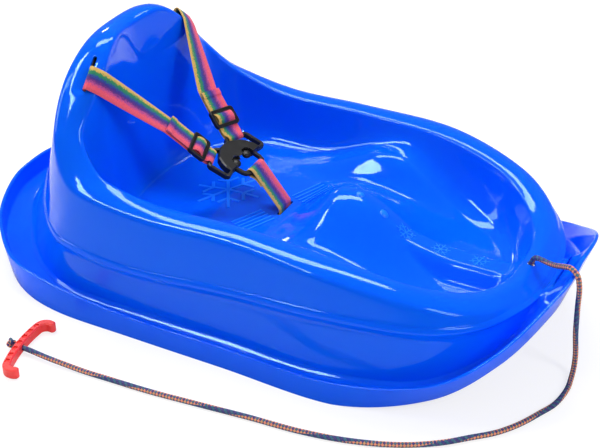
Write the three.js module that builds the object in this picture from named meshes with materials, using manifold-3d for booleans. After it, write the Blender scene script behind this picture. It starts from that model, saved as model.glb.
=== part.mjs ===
// Baby pull sled with a three-point harness and a pull rope.
// Millimetres. +X is the front, +Y is the sled's left side and +Z is up.
import * as THREE from 'three';
import { mergeVertices } from 'three/addons/utils/BufferGeometryUtils.js';
import Module from 'manifold-3d';

const wasm = await Module();
wasm.setup();

// Driving sizes of the whole sled
const LENGTH = 773;
const WIDTH = 426;
const HEIGHT = 300;
const WALL = 3.2;
const CLEAR = 0.3;
const WELD = 0.0003;
const CUT_OVERRUN = 4;

// Rim, belt, tray and skirt
const RIM_CROWN = 4;
const RIM_SKIRT = 9;
const RIM_FLARE = 1;
const RIM_STEP = 2;
const BELT_STEP = 7;
const LIP_WALL = 3.2;
const SKIRT_EDGE = 9;

// Seat floor
const SEAT_LEVEL = 74;
const SEAT_RISE = 18;
const SEAT_DISH = 10;
const FOOTWELL_LEVEL = 70;
const POMMEL_HEIGHT = 50;
const RIDGE_HEIGHT = 22;
const KNEE_HEIGHT = 34;

// Harness webbing, its slots and the bars that stop it
const WEBBING_WIDTH = 30;
const WEBBING_THICK = 1.4;
const WEBBING_BUNCH = 24;
const SLOT_LENGTH = 46;
const SLOT_WIDTH = 5.4;
const CROTCH_SLOT_LENGTH = 38;
const STOP_RADIUS = 3;
const STOP_LENGTH = 52;
const STOP_DROP = 10.2;
const CROTCH_STOP_LENGTH = 46;
const CROTCH_STOP_DROP = 8.3;
const LOOP_ANGLE = THREE.MathUtils.degToRad(292);
const STRAP_FOLD = 4;
const FOLD_START = THREE.MathUtils.degToRad(144);
const FOLD_END = THREE.MathUtils.degToRad(81);
const FOLD_STEPS = 2;
const STRAP_RISE = 1;
const STRAP_REST = 0.5;
const SLOT_LEAD = 7;
const STRAP_SHIFT = 4;
const EDGE_SHIFT = -1;

// Strap sliders, measured back from the bar that the strap goes round
const SLIDER_SETS = { right: 21, left: 29 };
const SLIDER_LENGTH = 25;
const SLIDER_SIDE = 3.5;
const SLIDER_END = 4.5;
const SLIDER_BAR = 4;
const SLIDER_BAR_THICK = 1.6;
const SLIDER_END_THICK = 2.4;
const SLIDER_CORNER = 4.5;
const TURN_LENGTH = 2.5;
const CLOSE_LENGTH = 7.5;
const TAIL_LENGTH = 68;
const HEM_LENGTH = 8;
const CROTCH_TAIL_LENGTH = 22;

// Buckle housing, its wings, the fork and the prongs
const BUCKLE_SHIFT = -3;
const BUCKLE_PITCH = THREE.MathUtils.degToRad(20);
const HOUSING_LENGTH = 34.5;
const HOUSING_WIDTH = 69;
const HOUSING_THICK = 11;
const HOUSING_BEVEL = 1.4;
const CAVITY_REAR_GAP = 0.6;
const WING_BAR = 4;
const WING_THICK = 8;
const WING_BEVEL = 1;
const MOUTH_EDGE = 4.5;
const MOUTH_RADIUS = 7.4;
const MOUTH_SLACK = 2;
const FORK_LENGTH = 44;
const FORK_WIDTH = 51;
const FORK_THICK = 5;
const FORK_BEVEL = 1;
const FORK_BAR_MIDDLE = 28.5;
const PRONG_ARM = 3.5;
const PRONG_THICK = 4;
const PRONG_BEVEL = 0.6;
const LOBE_FORWARD = 6.8;
const LOBE_SIDE = 12.5;
const LOBE_RADIUS = 6.2;
const LOBE_HEIGHT = 4.4;
const PIVOT_BACK = 7.4;
const PIVOT_SIDE = 6;

// Rope, its hole and its knots
const ROPE_RADIUS = 3.2;
const ROPE_HOLE_RADIUS = 4.8;
const ROPE_SIDES = 8;
const ROPE_STEPS = 80;
const KNOT_RADIUS = 6.2;
const KNOT_LENGTH = 13;

// Pull handle
const HANDLE_SPAN = 103;
const HANDLE_BOW = 3.5;
const HANDLE_BAND = 9.5;
const HANDLE_THICK = 13;
const HANDLE_BEVEL = 1.6;
const HANDLE_SKEW = 0.07 * Math.PI;
const HOOK_RADIUS = 10.5;
const HOOK_TURN = 0.56 * Math.PI;
const HANDLE_BORE_RADIUS = 3.9;
const POCKET_COUNT = 7;
const POCKET_LENGTH = 7;
const POCKET_WIDTH = 5.4;
const POCKET_DEPTH = 2;
const POCKET_PITCH = 11.8;

// Counts
const STATIONS_PER_ROW = 3;
const ROUND_SIDES = 16;
const CAP_SIDES = 4;
const LOOP_STEPS = 10;
const TURN_STEPS = 6;
const FREE_STEPS = 8;

// Half outlines from the rear centre to the front centre, one row per station.
// A row is its share of the length, of the half width and of the height.
const floorEdgeShares = [
  [-0.236, 0, 0.28], [-0.231, 0.235, 0.28], [-0.213, 0.432, 0.28], [-0.187, 0.535, 0.28],
  [-0.155, 0.573, 0.28], [-0.116, 0.592, 0.28], [-0.058, 0.606, 0.28], [0.043, 0.61, 0.28],
  [0.162, 0.601, 0.28], [0.266, 0.507, 0.26], [0.333, 0.357, 0.25], [0.367, 0.188, 0.25],
  [0.376, 0, 0.25],
];
const rimInnerShares = [
  [-0.266, 0, 1], [-0.254, 0.254, 1], [-0.243, 0.462, 0.887], [-0.246, 0.657, 0.738],
  [-0.209, 0.742, 0.618], [-0.164, 0.751, 0.567], [-0.091, 0.732, 0.533], [0.043, 0.723, 0.537],
  [0.188, 0.728, 0.517], [0.305, 0.648, 0.457], [0.372, 0.46, 0.397], [0.402, 0.235, 0.37],
  [0.409, 0, 0.363],
];
const rimOuterShares = [
  [-0.302, 0, 1.003], [-0.302, 0.289, 0.978], [-0.298, 0.54, 0.876], [-0.283, 0.736, 0.722],
  [-0.25, 0.85, 0.593], [-0.2, 0.892, 0.543], [-0.091, 0.878, 0.513], [0.043, 0.869, 0.523],
  [0.199, 0.892, 0.503], [0.333, 0.779, 0.433], [0.406, 0.554, 0.373], [0.431, 0.291, 0.35],
  [0.439, 0, 0.343],
];
const beltShares = [
  [-0.43, 0, 0.307], [-0.409, 0.235, 0.307], [-0.378, 0.432, 0.307], [-0.34, 0.634, 0.307],
  [-0.297, 0.798, 0.303], [-0.245, 0.901, 0.297], [-0.122, 0.939, 0.287], [0.043, 0.939, 0.327],
  [0.201, 0.939, 0.353], [0.333, 0.826, 0.343], [0.406, 0.61, 0.327], [0.447, 0.31, 0.327],
  [0.457, 0, 0.327],
];
const footShares = [
  [-0.46, 0, 0.12], [-0.443, 0.235, 0.117], [-0.408, 0.441, 0.107], [-0.362, 0.657, 0.093],
  [-0.31, 0.808, 0.087], [-0.245, 0.897, 0.083], [-0.122, 0.915, 0.083], [0.043, 0.92, 0.083],
  [0.201, 0.925, 0.087], [0.333, 0.826, 0.11], [0.415, 0.61, 0.187], [0.46, 0.31, 0.28],
  [0.474, 0, 0.3],
];
const trayEdgeShares = [
  [-0.488, 0, 0.127], [-0.483, 0.225, 0.123], [-0.453, 0.493, 0.113], [-0.412, 0.695, 0.097],
  [-0.355, 0.854, 0.087], [-0.265, 0.958, 0.083], [-0.122, 0.977, 0.083], [0.043, 0.977, 0.083],
  [0.214, 0.981, 0.087], [0.35, 0.88, 0.113], [0.425, 0.66, 0.195], [0.478, 0.291, 0.297],
  [0.486, 0, 0.313],
];
const lipTopShares = [
  [-0.5, 0, 0.2], [-0.495, 0.225, 0.193], [-0.464, 0.507, 0.177], [-0.422, 0.714, 0.16],
  [-0.353, 0.92, 0.15], [-0.265, 0.981, 0.123], [-0.122, 1, 0.097], [0.043, 1, 0.097],
  [0.221, 1, 0.097], [0.364, 0.91, 0.168], [0.442, 0.685, 0.275], [0.496, 0.31, 0.427],
  [0.5, 0, 0.443],
];
const baseShares = [
  [-0.487, 0, 0.047], [-0.482, 0.225, 0.04], [-0.455, 0.488, 0.02], [-0.415, 0.695, 0.003],
  [-0.345, 0.897, 0], [-0.258, 0.991, 0], [-0.122, 1, 0], [0.043, 1, 0],
  [0.227, 1, 0], [0.36, 0.822, 0.057], [0.438, 0.592, 0.18], [0.477, 0.263, 0.273],
  [0.482, 0, 0.287],
];

// Shares of the way from the middle of the floor to its edge
const floorRingShares = [0, 0.1, 0.22, 0.36, 0.52, 0.68, 0.84, 1];
// Shares of the way from the floor edge to the rim, sideways and up
const innerWallShares = [[0.40, 0.10], [0.72, 0.45], [0.93, 0.88]];
const outerWallShares = [0.55];
// Share of the way from the belt down to the foot, where the belt steps in
const underBeltShare = 0.14;
// The fairing at the nose: how far the tray rises to the lip, and its sides in the half width
const fairingShares = { foot: 0.55, tray: 0.75, side: [0.12, 0.26] };
// Shares of the half length: the ends of the middle line of the floor
const spineShares = [-0.31, 0.59];
// Where each swelling of the floor starts and ends, as shares of the half length from the
// middle; spreads and sides are shares of the half width
const floorShares = {
  back: [0.28, 0.46],
  front: [-0.52, -0.16],
  footwell: [0.25, 0.62],
  pommelRise: [0.04, 0.22],
  pommelFall: [0.24, 0.62],
  pommelSpread: 0.20,
  ridgeRise: [0.10, 0.30],
  ridgeSpread: 0.085,
  kneeMiddle: 0.24,
  kneeSpread: 0.13,
  kneeSide: [0.36, 0.58],
};

// The station of each shoulder slot, counted from the rear centre
const slotStation = 6;
// Shares of the way from the rim's inner edge to its crest: the shoulder slots
const slotShare = 0.72;
// Shares of the length and the height: the buckle's middle and the crotch slot
const buckleShares = [-0.0783, 0.503];
const crotchSlotShare = 0.0065;
// Share of the way over the rim band to the rope hole
const ropeHoleShare = 0.78;

// Outlines of the buckle, as shares of the housing's length and half width
const housingShares = [
  [-0.638, 0], [-0.623, 0.232], [-0.551, 0.42], [-0.47, 0.55], [-0.348, 0.754],
  [-0.145, 0.9], [0.087, 0.986], [0.362, 1],
];
const wingShares = [
  [-0.5, 0.17], [-0.725, 0.406], [-0.449, 1.246], [-0.348, 1.304], [0.304, 1.29],
  [0.377, 1.217], [0.319, 0.87],
];
// The side outline of a pressing lobe, as shares of its radius and half height
const lobeShares = [[0, -1], [0.6, -0.84], [0.92, -0.36], [1, 0], [0.92, 0.36], [0.6, 0.84], [0, 1]];
// The side outline of a knot, as shares of its radius and half length
const knotShares = [[0, -1], [0.62, -1], [0.94, -0.5], [1, 0], [0.94, 0.5], [0.62, 1], [0, 1]];
// The ends of the rear bar of a wing, which the strap goes round
const wingBarShares = [[-0.725, 0.406], [-0.449, 1.246]];
// The same of the fork's length and half width, for the fork's outside and its window
const forkShares = [
  [-0.295, 0.627], [-0.182, 0.882], [0, 1], [0.227, 1], [0.5, 0.961], [0.636, 0.863], [0.705, 0.667],
];
const windowShares = [
  [-0.216, 0.529], [-0.125, 0.725], [0, 0.804], [0.227, 0.804], [0.5, 0.765], [0.591, 0.608],
];

// The rope's middle line in millimetres, from the knot under the rim to the end knot
const ropeRoute = [
  [324.7, 0, 105.6], [326.8, 0, 113.5], [330, -2, 119], [336, -6, 122], [356, -19, 128],
  [374, -31, 138], [381, -35.5, 141], [390, -40.5, 137.5], [394.2, -42.5, 126], [395, -40.5, 95],
  [396, -38, 60], [398.3, -34, 26], [399.2, -37, 10.5], [400.4, -47, 4.6], [402.5, -70, 3.2],
  [398.5, -101, 3.2], [388.5, -124, 3.2], [375, -151, 3.2], [358, -175, 3.2], [334.5, -197, 3.2],
  [309.5, -219, 3.2], [272.5, -242, 3.2], [221.5, -261, 3.2], [167.5, -272, 3.2],
  [106.5, -277.5, 3.2], [44.5, -284.2, 3.2], [-17.5, -290.5, 3.2], [-68, -293, 3.2],
  [-102, -295, 3.6], [-128, -296.5, 5.6], [-150, -296.9, 6.5], [-172, -295.2, 6.5],
  [-188, -294.2, 6.5], [-199.2, -293.5, 6.5],
];

// Colours and finishes
const finishes = {
  blue: { color: 0x0a5cff, roughness: 0.25, metalness: 0 },
  webbing: { color: 0xe0607a, roughness: 0.9, metalness: 0 },
  black: { color: 0x242422, roughness: 0.5, metalness: 0 },
  rope: { color: 0xc07860, roughness: 0.9, metalness: 0 },
  red: { color: 0xe83c3c, roughness: 0.4, metalness: 0 },
};

const group = new THREE.Group();
group.name = 'baby_pull_sled';

function vec(x, y, z) {
  return new THREE.Vector3(x, y, z);
}

function addNode(name, geometry, finish) {
  const mesh = new THREE.Mesh(geometry, new THREE.MeshStandardMaterial(finishes[finish]));
  mesh.name = name;
  group.add(mesh);
  return mesh;
}

// Solids and their cuts

function toSolid(geometry) {
  const plain = geometry.clone();
  plain.deleteAttribute('normal');
  plain.deleteAttribute('uv');
  const welded = mergeVertices(plain, WELD);
  const corners = welded.index.array;
  const triangles = [];
  for (let i = 0; i < corners.length; i += 3) {
    const [a, b, c] = [corners[i], corners[i + 1], corners[i + 2]];
    if (a !== b && b !== c && c !== a) triangles.push(a, b, c);
  }
  return new wasm.Manifold(new wasm.Mesh({
    numProp: 3,
    vertProperties: new Float32Array(welded.attributes.position.array),
    triVerts: new Uint32Array(triangles),
  }));
}

function toGeometry(solid) {
  const mesh = solid.getMesh();
  const geometry = new THREE.BufferGeometry();
  geometry.setAttribute('position', new THREE.BufferAttribute(new Float32Array(mesh.vertProperties), 3));
  geometry.setIndex(new THREE.BufferAttribute(new Uint32Array(mesh.triVerts), 1));
  geometry.computeVertexNormals();
  return geometry;
}

function placed(geometry, matrix) {
  return geometry.clone().applyMatrix4(matrix);
}

// A frame with its own X, Y and Z directions, standing at a point
function frameAt(origin, xAxis, yAxis) {
  const x = xAxis.clone().normalize();
  const z = x.clone().cross(yAxis).normalize();
  const y = z.clone().cross(x);
  return new THREE.Matrix4().makeBasis(x, y, z).setPosition(origin);
}

// The seat floor

function bump(distance, spread) {
  return Math.exp(-(distance * distance) / (2 * spread * spread));
}

function ease(value, start, end) {
  return THREE.MathUtils.smoothstep(value, start, end);
}

function floorHeight(x, y) {
  const half = LENGTH / 2;
  const side = WIDTH / 2;
  const shares = floorShares;
  const towardBack = ease(-x / half, ...shares.back) * SEAT_DISH;
  const towardFront = ease(x / half, ...shares.front) * SEAT_RISE;
  const dish = (y / side) ** 2 * SEAT_DISH;
  const footwell = ease(x / half, ...shares.footwell) * (SEAT_LEVEL + SEAT_RISE - FOOTWELL_LEVEL);
  const along = ease(x / half, ...shares.pommelRise) * (1 - ease(x / half, ...shares.pommelFall));
  const pommel = along * POMMEL_HEIGHT * bump(y / side, shares.pommelSpread);
  const ridge = ease(x / half, ...shares.ridgeRise) * RIDGE_HEIGHT * bump(y / side, shares.ridgeSpread);
  const kneeAlong = bump(x / half - shares.kneeMiddle, shares.kneeSpread);
  const knee = KNEE_HEIGHT * kneeAlong * ease(Math.abs(y) / side, ...shares.kneeSide);
  return SEAT_LEVEL + towardBack + towardFront + dish - footwell + Math.max(ridge, pommel) + knee;
}

function floorNormal(x, y) {
  const step = WALL;
  const slopeX = (floorHeight(x + step, y) - floorHeight(x - step, y)) / (step + step);
  const slopeY = (floorHeight(x, y + step) - floorHeight(x, y - step)) / (step + step);
  return vec(-slopeX, -slopeY, 1).normalize();
}

// The shell is lofted through closed rings that share their stations

function closedOutline(shares) {
  const half = shares.map(([x, y, z]) => vec(x * LENGTH, y * WIDTH / 2, z * HEIGHT));
  const other = half.slice(1, -1).reverse().map((point) => vec(point.x, -point.y, point.z));
  const curve = new THREE.CatmullRomCurve3([...half, ...other], true, 'catmullrom', 0.5);
  const count = (half.length + other.length) * STATIONS_PER_ROW;
  return Array.from({ length: count }, (_, station) => {
    const point = curve.getPoint(station / count);
    return vec(point.x, point.y, Math.max(point.z, 0));
  });
}

function blendRings(ringA, ringB, share, upShare = share) {
  return ringA.map((point, station) => vec(
    THREE.MathUtils.lerp(point.x, ringB[station].x, share),
    THREE.MathUtils.lerp(point.y, ringB[station].y, share),
    THREE.MathUtils.lerp(point.z, ringB[station].z, upShare),
  ));
}

function ringTangent(ring, station) {
  const count = ring.length;
  return ring[(station + 1) % count].clone().sub(ring[(station + count - 1) % count]);
}

// The direction out of the skin that runs from ringA to ringB
function skinNormal(ringA, ringB, station) {
  const across = ringB[station].clone().sub(ringA[station]);
  const along = ringTangent(ringA, station).add(ringTangent(ringB, station));
  return along.cross(across).normalize();
}

// The flat direction away from the ring's middle
function outward(ring, station) {
  const along = ringTangent(ring, station);
  return vec(-along.y, along.x, 0).normalize();
}

function movedRing(ring, move) {
  return ring.map((point, station) => point.clone().add(move(station)));
}

function floorRings(floorEdge) {
  const [spineRear, spineFront] = spineShares.map((share) => share * LENGTH / 2);
  const rear = floorEdge[0].x;
  const front = floorEdge[floorEdge.length / 2].x;
  return floorRingShares.map((share) => floorEdge.map((edge) => {
    const spineX = THREE.MathUtils.mapLinear(edge.x, rear, front, spineRear, spineFront);
    const x = THREE.MathUtils.lerp(spineX, edge.x, share);
    const y = edge.y * share;
    return vec(x, y, floorHeight(x, y));
  }));
}

function rimCrest(rimInner, rimOuter) {
  const middle = blendRings(rimInner, rimOuter, 0.5);
  return movedRing(middle, (station) => (
    skinNormal(rimInner, rimOuter, station).multiplyScalar(RIM_CROWN)
  ));
}

// The edge of the rim that turns down, and the top of the wall under it
function rimSkirt(rimOuter, belt, depth, out) {
  return movedRing(rimOuter, (station) => {
    const down = belt[station].clone().sub(rimOuter[station]).normalize();
    const away = skinNormal(rimOuter, belt, station);
    return down.multiplyScalar(depth).add(away.multiplyScalar(out));
  });
}

// A ring of the tray, raised in front of the rope hole
function fairedRing(ring, lipTop, share) {
  return movedRing(ring, (station) => {
    const { x, y, z } = ring[station];
    const side = THREE.MathUtils.smoothstep(Math.abs(y) / (WIDTH / 2), ...fairingShares.side);
    return vec(0, 0, x > 0 ? share * (1 - side) * (lipTop[station].z - z) : 0);
  });
}

function shellRings() {
  const edge = closedOutline(floorEdgeShares);
  const floors = floorRings(edge);
  const floorEdge = floors[floors.length - 1];
  const rimInner = closedOutline(rimInnerShares);
  const rimOuter = closedOutline(rimOuterShares);
  const belt = closedOutline(beltShares);
  const lipTop = closedOutline(lipTopShares);
  const foot = fairedRing(closedOutline(footShares), lipTop, fairingShares.foot);
  const trayEdge = fairedRing(closedOutline(trayEdgeShares), lipTop, fairingShares.tray);
  const base = closedOutline(baseShares);
  const innerWall = innerWallShares.map(([side, up]) => blendRings(floorEdge, rimInner, side, up));
  const outerWall = outerWallShares.map((share) => blendRings(rimOuter, belt, share));
  const crest = rimCrest(rimInner, rimOuter);
  const underBelt = movedRing(blendRings(belt, foot, underBeltShare), (station) => (
    outward(belt, station).multiplyScalar(-BELT_STEP / 2)
  ));
  return {
    floors, innerWall, rimInner, crest, rimOuter, outerWall, belt, underBelt, foot,
    trayEdge, lipTop, base,
  };
}

// The outer skin, from the middle of the floor out to the bottom edge
function outerSkin(rings) {
  const skirtOut = rimSkirt(rings.rimOuter, rings.belt, RIM_SKIRT, RIM_FLARE);
  const skirtIn = rimSkirt(rings.rimOuter, rings.belt, RIM_SKIRT + RIM_FLARE, RIM_FLARE - RIM_STEP);
  const lipInner = movedRing(rings.lipTop, (station) => (
    outward(rings.lipTop, station).multiplyScalar(-LIP_WALL)
  ));
  return [
    ...rings.floors, ...rings.innerWall, rings.rimInner, rings.crest, rings.rimOuter,
    skirtOut, skirtIn, ...rings.outerWall, rings.belt, rings.underBelt, rings.foot,
    rings.trayEdge, lipInner, rings.lipTop, rings.base,
  ];
}

// The hidden skin, from the bottom edge back to the middle of the floor
function innerSkin(rings) {
  const walls = [
    ...rings.innerWall, rings.rimInner, rings.crest, rings.rimOuter,
    ...rings.outerWall, rings.belt, rings.underBelt,
  ];
  const sheet = [rings.floors[rings.floors.length - 1], ...walls, rings.foot];
  const floors = rings.floors.map((ring) => ring.map((point) => (
    point.clone().sub(floorNormal(point.x, point.y).multiplyScalar(WALL))
  )));
  const hidden = walls.map((ring, index) => movedRing(ring, (station) => (
    skinNormal(sheet[index], sheet[index + 2], station).multiplyScalar(-WALL)
  )));
  const down = vec(0, 0, -WALL);
  const foot = movedRing(rings.foot, (station) => (
    outward(rings.foot, station).multiplyScalar(-WALL).add(down)
  ));
  const baseInner = movedRing(rings.base, (station) => (
    outward(rings.base, station).multiplyScalar(-SKIRT_EDGE)
  ));
  const tray = baseInner.map((point, station) => (
    vec(point.x, point.y, rings.trayEdge[station].z - WALL)
  ));
  return [baseInner, tray, foot, ...hidden.reverse(), ...floors.reverse()];
}

function loftGeometry(rings) {
  const stations = rings[0].length;
  const positions = rings.flat().flatMap((point) => [point.x, point.y, point.z]);
  const indices = [];
  for (let ring = 0; ring + 1 < rings.length; ring += 1) {
    for (let station = 0; station < stations; station += 1) {
      const next = (station + 1) % stations;
      const a = ring * stations + station;
      const b = ring * stations + next;
      const c = (ring + 1) * stations + next;
      const d = (ring + 1) * stations + station;
      indices.push(a, b, c, a, c, d);
    }
  }
  const geometry = new THREE.BufferGeometry();
  geometry.setAttribute('position', new THREE.Float32BufferAttribute(positions, 3));
  geometry.setIndex(indices);
  return geometry;
}

// Flat pieces: outlines lie in X and Y, and half the thickness is above them

function plate(outline, thick, bevel = 0) {
  const geometry = new THREE.ExtrudeGeometry(new THREE.Shape(outline), {
    depth: thick - 2 * bevel,
    bevelEnabled: bevel > 0,
    bevelThickness: bevel,
    bevelSize: bevel,
    bevelOffset: -bevel,
    bevelSegments: 1,
  });
  return toSolid(geometry.translate(0, 0, bevel - thick / 2));
}

function flat(x, y) {
  return new THREE.Vector2(x, y);
}

function arcPoints(middleX, middleY, radius, from, to, steps) {
  return Array.from({ length: steps + 1 }, (_, step) => {
    const angle = THREE.MathUtils.lerp(from, to, step / steps);
    return flat(middleX + radius * Math.cos(angle), middleY + radius * Math.sin(angle));
  });
}

// A straight bar with round ends between two points
function roundBar(from, to, width, thick, bevel = 0) {
  const angle = Math.atan2(to.y - from.y, to.x - from.x);
  const quarter = Math.PI / 2;
  const outline = [
    ...arcPoints(to.x, to.y, width / 2, angle - quarter, angle + quarter, CAP_SIDES),
    ...arcPoints(from.x, from.y, width / 2, angle + quarter, angle + 3 * quarter, CAP_SIDES),
  ];
  return plate(outline, thick, bevel);
}

// Bars along a line of points, joined in one solid
function barsAlong(points, width, thick, bevel) {
  const bars = points.slice(1).map((point, index) => (
    roundBar(points[index], point, width, thick, bevel)
  ));
  return bars.reduce((whole, bar) => whole.add(bar));
}

function disc(middleX, middleY, radius, thick) {
  return plate(arcPoints(middleX, middleY, radius, 0, 2 * Math.PI, ROUND_SIDES).slice(1), thick);
}

function block(from, to) {
  const size = to.clone().sub(from);
  const geometry = new THREE.BoxGeometry(size.x, size.y, size.z);
  return toSolid(geometry.translate(from.x + size.x / 2, from.y + size.y / 2, from.z + size.z / 2));
}

// A half outline given in shares, closed by its mirror image
function mirrored(shares, length, width) {
  const half = shares.map(([x, y]) => flat(x * length, y * width / 2));
  const other = half.filter((point) => point.y > 0).reverse().map((point) => flat(point.x, -point.y));
  return [...half, ...other];
}

function solidAt(solid, matrix) {
  return toSolid(placed(toGeometry(solid), matrix));
}

// The sled's shell with its slots and its rope hole

// A frame on the rim band: X along the rim, Y forward across it and Z out of the skin
function rimFrame(rings, station, share, side = 0) {
  const normal = skinNormal(rings.rimInner, rings.rimOuter, station);
  const along = ringTangent(rings.crest, station).normalize();
  const origin = rings.rimInner[station].clone().lerp(rings.crest[station], share)
    .addScaledVector(along, -side * STRAP_SHIFT);
  const edge = rimEdge(rings, station, normal).addScaledVector(along, -side * EDGE_SHIFT);
  return { origin, normal, along, forward: along.clone().cross(normal), edge };
}

function crotchFrame() {
  const x = crotchSlotShare * LENGTH;
  const normal = floorNormal(x, 0);
  const along = vec(0, 1, 0);
  return { origin: vec(x, 0, floorHeight(x, 0)), normal, along, forward: along.clone().cross(normal) };
}

function slotCut(frame, length) {
  const reach = length / 2 - SLOT_WIDTH / 2;
  const depth = 2 * (WALL + RIM_CROWN + CUT_OVERRUN);
  const cut = roundBar(flat(-reach, 0), flat(reach, 0), SLOT_WIDTH, depth);
  return solidAt(cut, frameAt(frame.origin, frame.along, frame.forward));
}

// The strap hangs near the outer end of its slot, so the slot lies further up the rim
function slotFrame(strapFrame, side) {
  const origin = strapFrame.origin.clone().addScaledVector(strapFrame.along, -side * SLOT_LEAD);
  return { ...strapFrame, origin };
}

// Where a strap bends over the inner edge of the rim
function rimEdge(rings, station, normal) {
  const wall = rings.innerWall[rings.innerWall.length - 1];
  const inward = skinNormal(wall, rings.rimInner, station);
  const out = inward.add(normal).normalize().multiplyScalar(STRAP_REST + WEBBING_THICK / 2);
  return rings.rimInner[station].clone().add(out);
}

function ropeHoleCut(frame) {
  const depth = 2 * (WALL + RIM_CROWN + CUT_OVERRUN);
  const cut = disc(0, 0, ROPE_HOLE_RADIUS, depth);
  return solidAt(cut, frameAt(frame.origin, frame.along, frame.forward));
}

// Webbing is a flat band along a path of cross-sections

function section(point, across, width = WEBBING_WIDTH, thick = WEBBING_THICK) {
  return { point, across, width, thick };
}

function webbing(sections) {
  const last = sections.length - 1;
  const corners = sections.map(({ point, across, width, thick }, index) => {
    const before = sections[Math.max(index - 1, 0)].point;
    const after = sections[Math.min(index + 1, last)].point;
    const along = after.clone().sub(before).normalize();
    const face = along.clone().cross(across).normalize().multiplyScalar(thick / 2);
    const side = face.clone().cross(along).normalize().multiplyScalar(width / 2);
    return [[1, 1], [-1, 1], [-1, -1], [1, -1]].map(([sideSign, faceSign]) => (
      point.clone().addScaledVector(side, sideSign).addScaledVector(face, faceSign)
    ));
  });
  const capFrom = corners[0].map(() => sections[0].point);
  const capTo = corners[0].map(() => sections[last].point);
  return toSolid(loftGeometry([capFrom, ...corners, capTo]));
}

// Points on an arc, turning from one direction towards another
function turn(middle, from, toward, radius, startAngle, endAngle, steps) {
  return Array.from({ length: steps + 1 }, (_, step) => {
    const angle = THREE.MathUtils.lerp(startAngle, endAngle, step / steps);
    return middle.clone()
      .addScaledVector(from, radius * Math.cos(angle))
      .addScaledVector(toward, radius * Math.sin(angle));
  });
}

const STOP_TURN = STOP_RADIUS + CLEAR + WEBBING_THICK / 2;

function stopMiddle(frame, drop) {
  return frame.origin.clone()
    .addScaledVector(frame.normal, -drop)
    .addScaledVector(frame.forward, -STOP_TURN);
}

// The sewn loop round a stop bar, and the rise through the slot
function stopLoop(frame, drop) {
  const middle = stopMiddle(frame, drop);
  const points = turn(middle, frame.forward, frame.normal, STOP_TURN, -LOOP_ANGLE, 0, LOOP_STEPS);
  return [...points, frame.origin.clone().addScaledVector(frame.normal, STRAP_RISE)];
}

function stopBar(frame, drop, length) {
  const cylinder = new THREE.CylinderGeometry(STOP_RADIUS, STOP_RADIUS, length, ROUND_SIDES);
  return placed(cylinder, frameAt(stopMiddle(frame, drop), frame.forward, frame.along));
}

// Places in the buckle: X forward to the fork, Y to the side and Z out of its top

const buckleOrigin = vec(buckleShares[0] * LENGTH, BUCKLE_SHIFT, buckleShares[1] * HEIGHT);
const buckleForward = vec(Math.cos(BUCKLE_PITCH), 0, -Math.sin(BUCKLE_PITCH));
const buckleMatrix = frameAt(buckleOrigin, buckleForward, vec(0, 1, 0));

function inBuckle(x, y, z = 0) {
  return vec(x, y, z).applyMatrix4(buckleMatrix);
}

const WING_TURN = Math.hypot(WING_BAR / 2, WING_BAR / 2 - WING_BEVEL) + CLEAR + WEBBING_THICK / 2;
const LAYER_GAP = 2 * CLEAR + WEBBING_THICK + SLIDER_BAR_THICK;

// A frame at a wing's rear bar: X along the strap to the bar, Y along the bar and Z up
function wingFrame(side, fold) {
  const [inner, outer] = wingBarShares.map(([x, y]) => (
    inBuckle(x * HOUSING_LENGTH, side * y * HOUSING_WIDTH / 2)
  ));
  const origin = inner.clone().lerp(outer, 0.5);
  const bar = outer.clone().sub(inner).normalize().multiplyScalar(side);
  const up = origin.clone().sub(fold).cross(bar).normalize();
  return { origin, bar, up, along: bar.clone().cross(up) };
}

function onStrap(frame, back, up) {
  return frame.origin.clone().addScaledVector(frame.along, -back).addScaledVector(frame.up, up);
}

// One shoulder strap: stop loop, slot, free run, wing bar and back over itself to the hem
function shoulderStrap(slot, side) {
  const across = slot.along;
  const fold = turn(
    slot.origin.clone().addScaledVector(slot.normal, STRAP_RISE).addScaledVector(slot.forward, STRAP_FOLD),
    slot.forward, slot.normal, STRAP_FOLD, FOLD_START, FOLD_END, FOLD_STEPS,
  );
  const wing = wingFrame(side, slot.edge);
  const level = -WING_TURN;
  const rear = onStrap(wing, TAIL_LENGTH, level);
  const free = Array.from({ length: FREE_STEPS }, (_, step) => {
    const share = (step + 1) / (FREE_STEPS + 1);
    return section(slot.edge.clone().lerp(rear, share), across.clone().lerp(wing.bar, share));
  });
  const onBar = (point, width = WEBBING_WIDTH, thick = WEBBING_THICK) => (
    section(point, wing.bar, width, thick)
  );
  const round = turn(wing.origin, wing.along, wing.up, WING_TURN, -Math.PI / 2, Math.PI / 2, TURN_STEPS);
  const top = level + LAYER_GAP;
  const hemUp = top + WEBBING_THICK / 2;
  const solid = webbing([
    ...stopLoop(slot, STOP_DROP).map((point) => section(point, across)),
    ...fold.map((point) => section(point, across)),
    section(slot.edge, across),
    ...free,
    onBar(rear),
    onBar(onStrap(wing, CLOSE_LENGTH, level)),
    ...round.map((point) => onBar(point, WEBBING_BUNCH)),
    onBar(onStrap(wing, TURN_LENGTH, WING_TURN), WEBBING_BUNCH),
    onBar(onStrap(wing, CLOSE_LENGTH, top)),
    onBar(onStrap(wing, TAIL_LENGTH - HEM_LENGTH, top)),
    onBar(onStrap(wing, TAIL_LENGTH - HEM_LENGTH + CLEAR, hemUp), WEBBING_WIDTH, 2 * WEBBING_THICK),
    onBar(onStrap(wing, TAIL_LENGTH, hemUp), WEBBING_WIDTH, 2 * WEBBING_THICK),
  ]);
  return { solid, wing };
}

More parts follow.
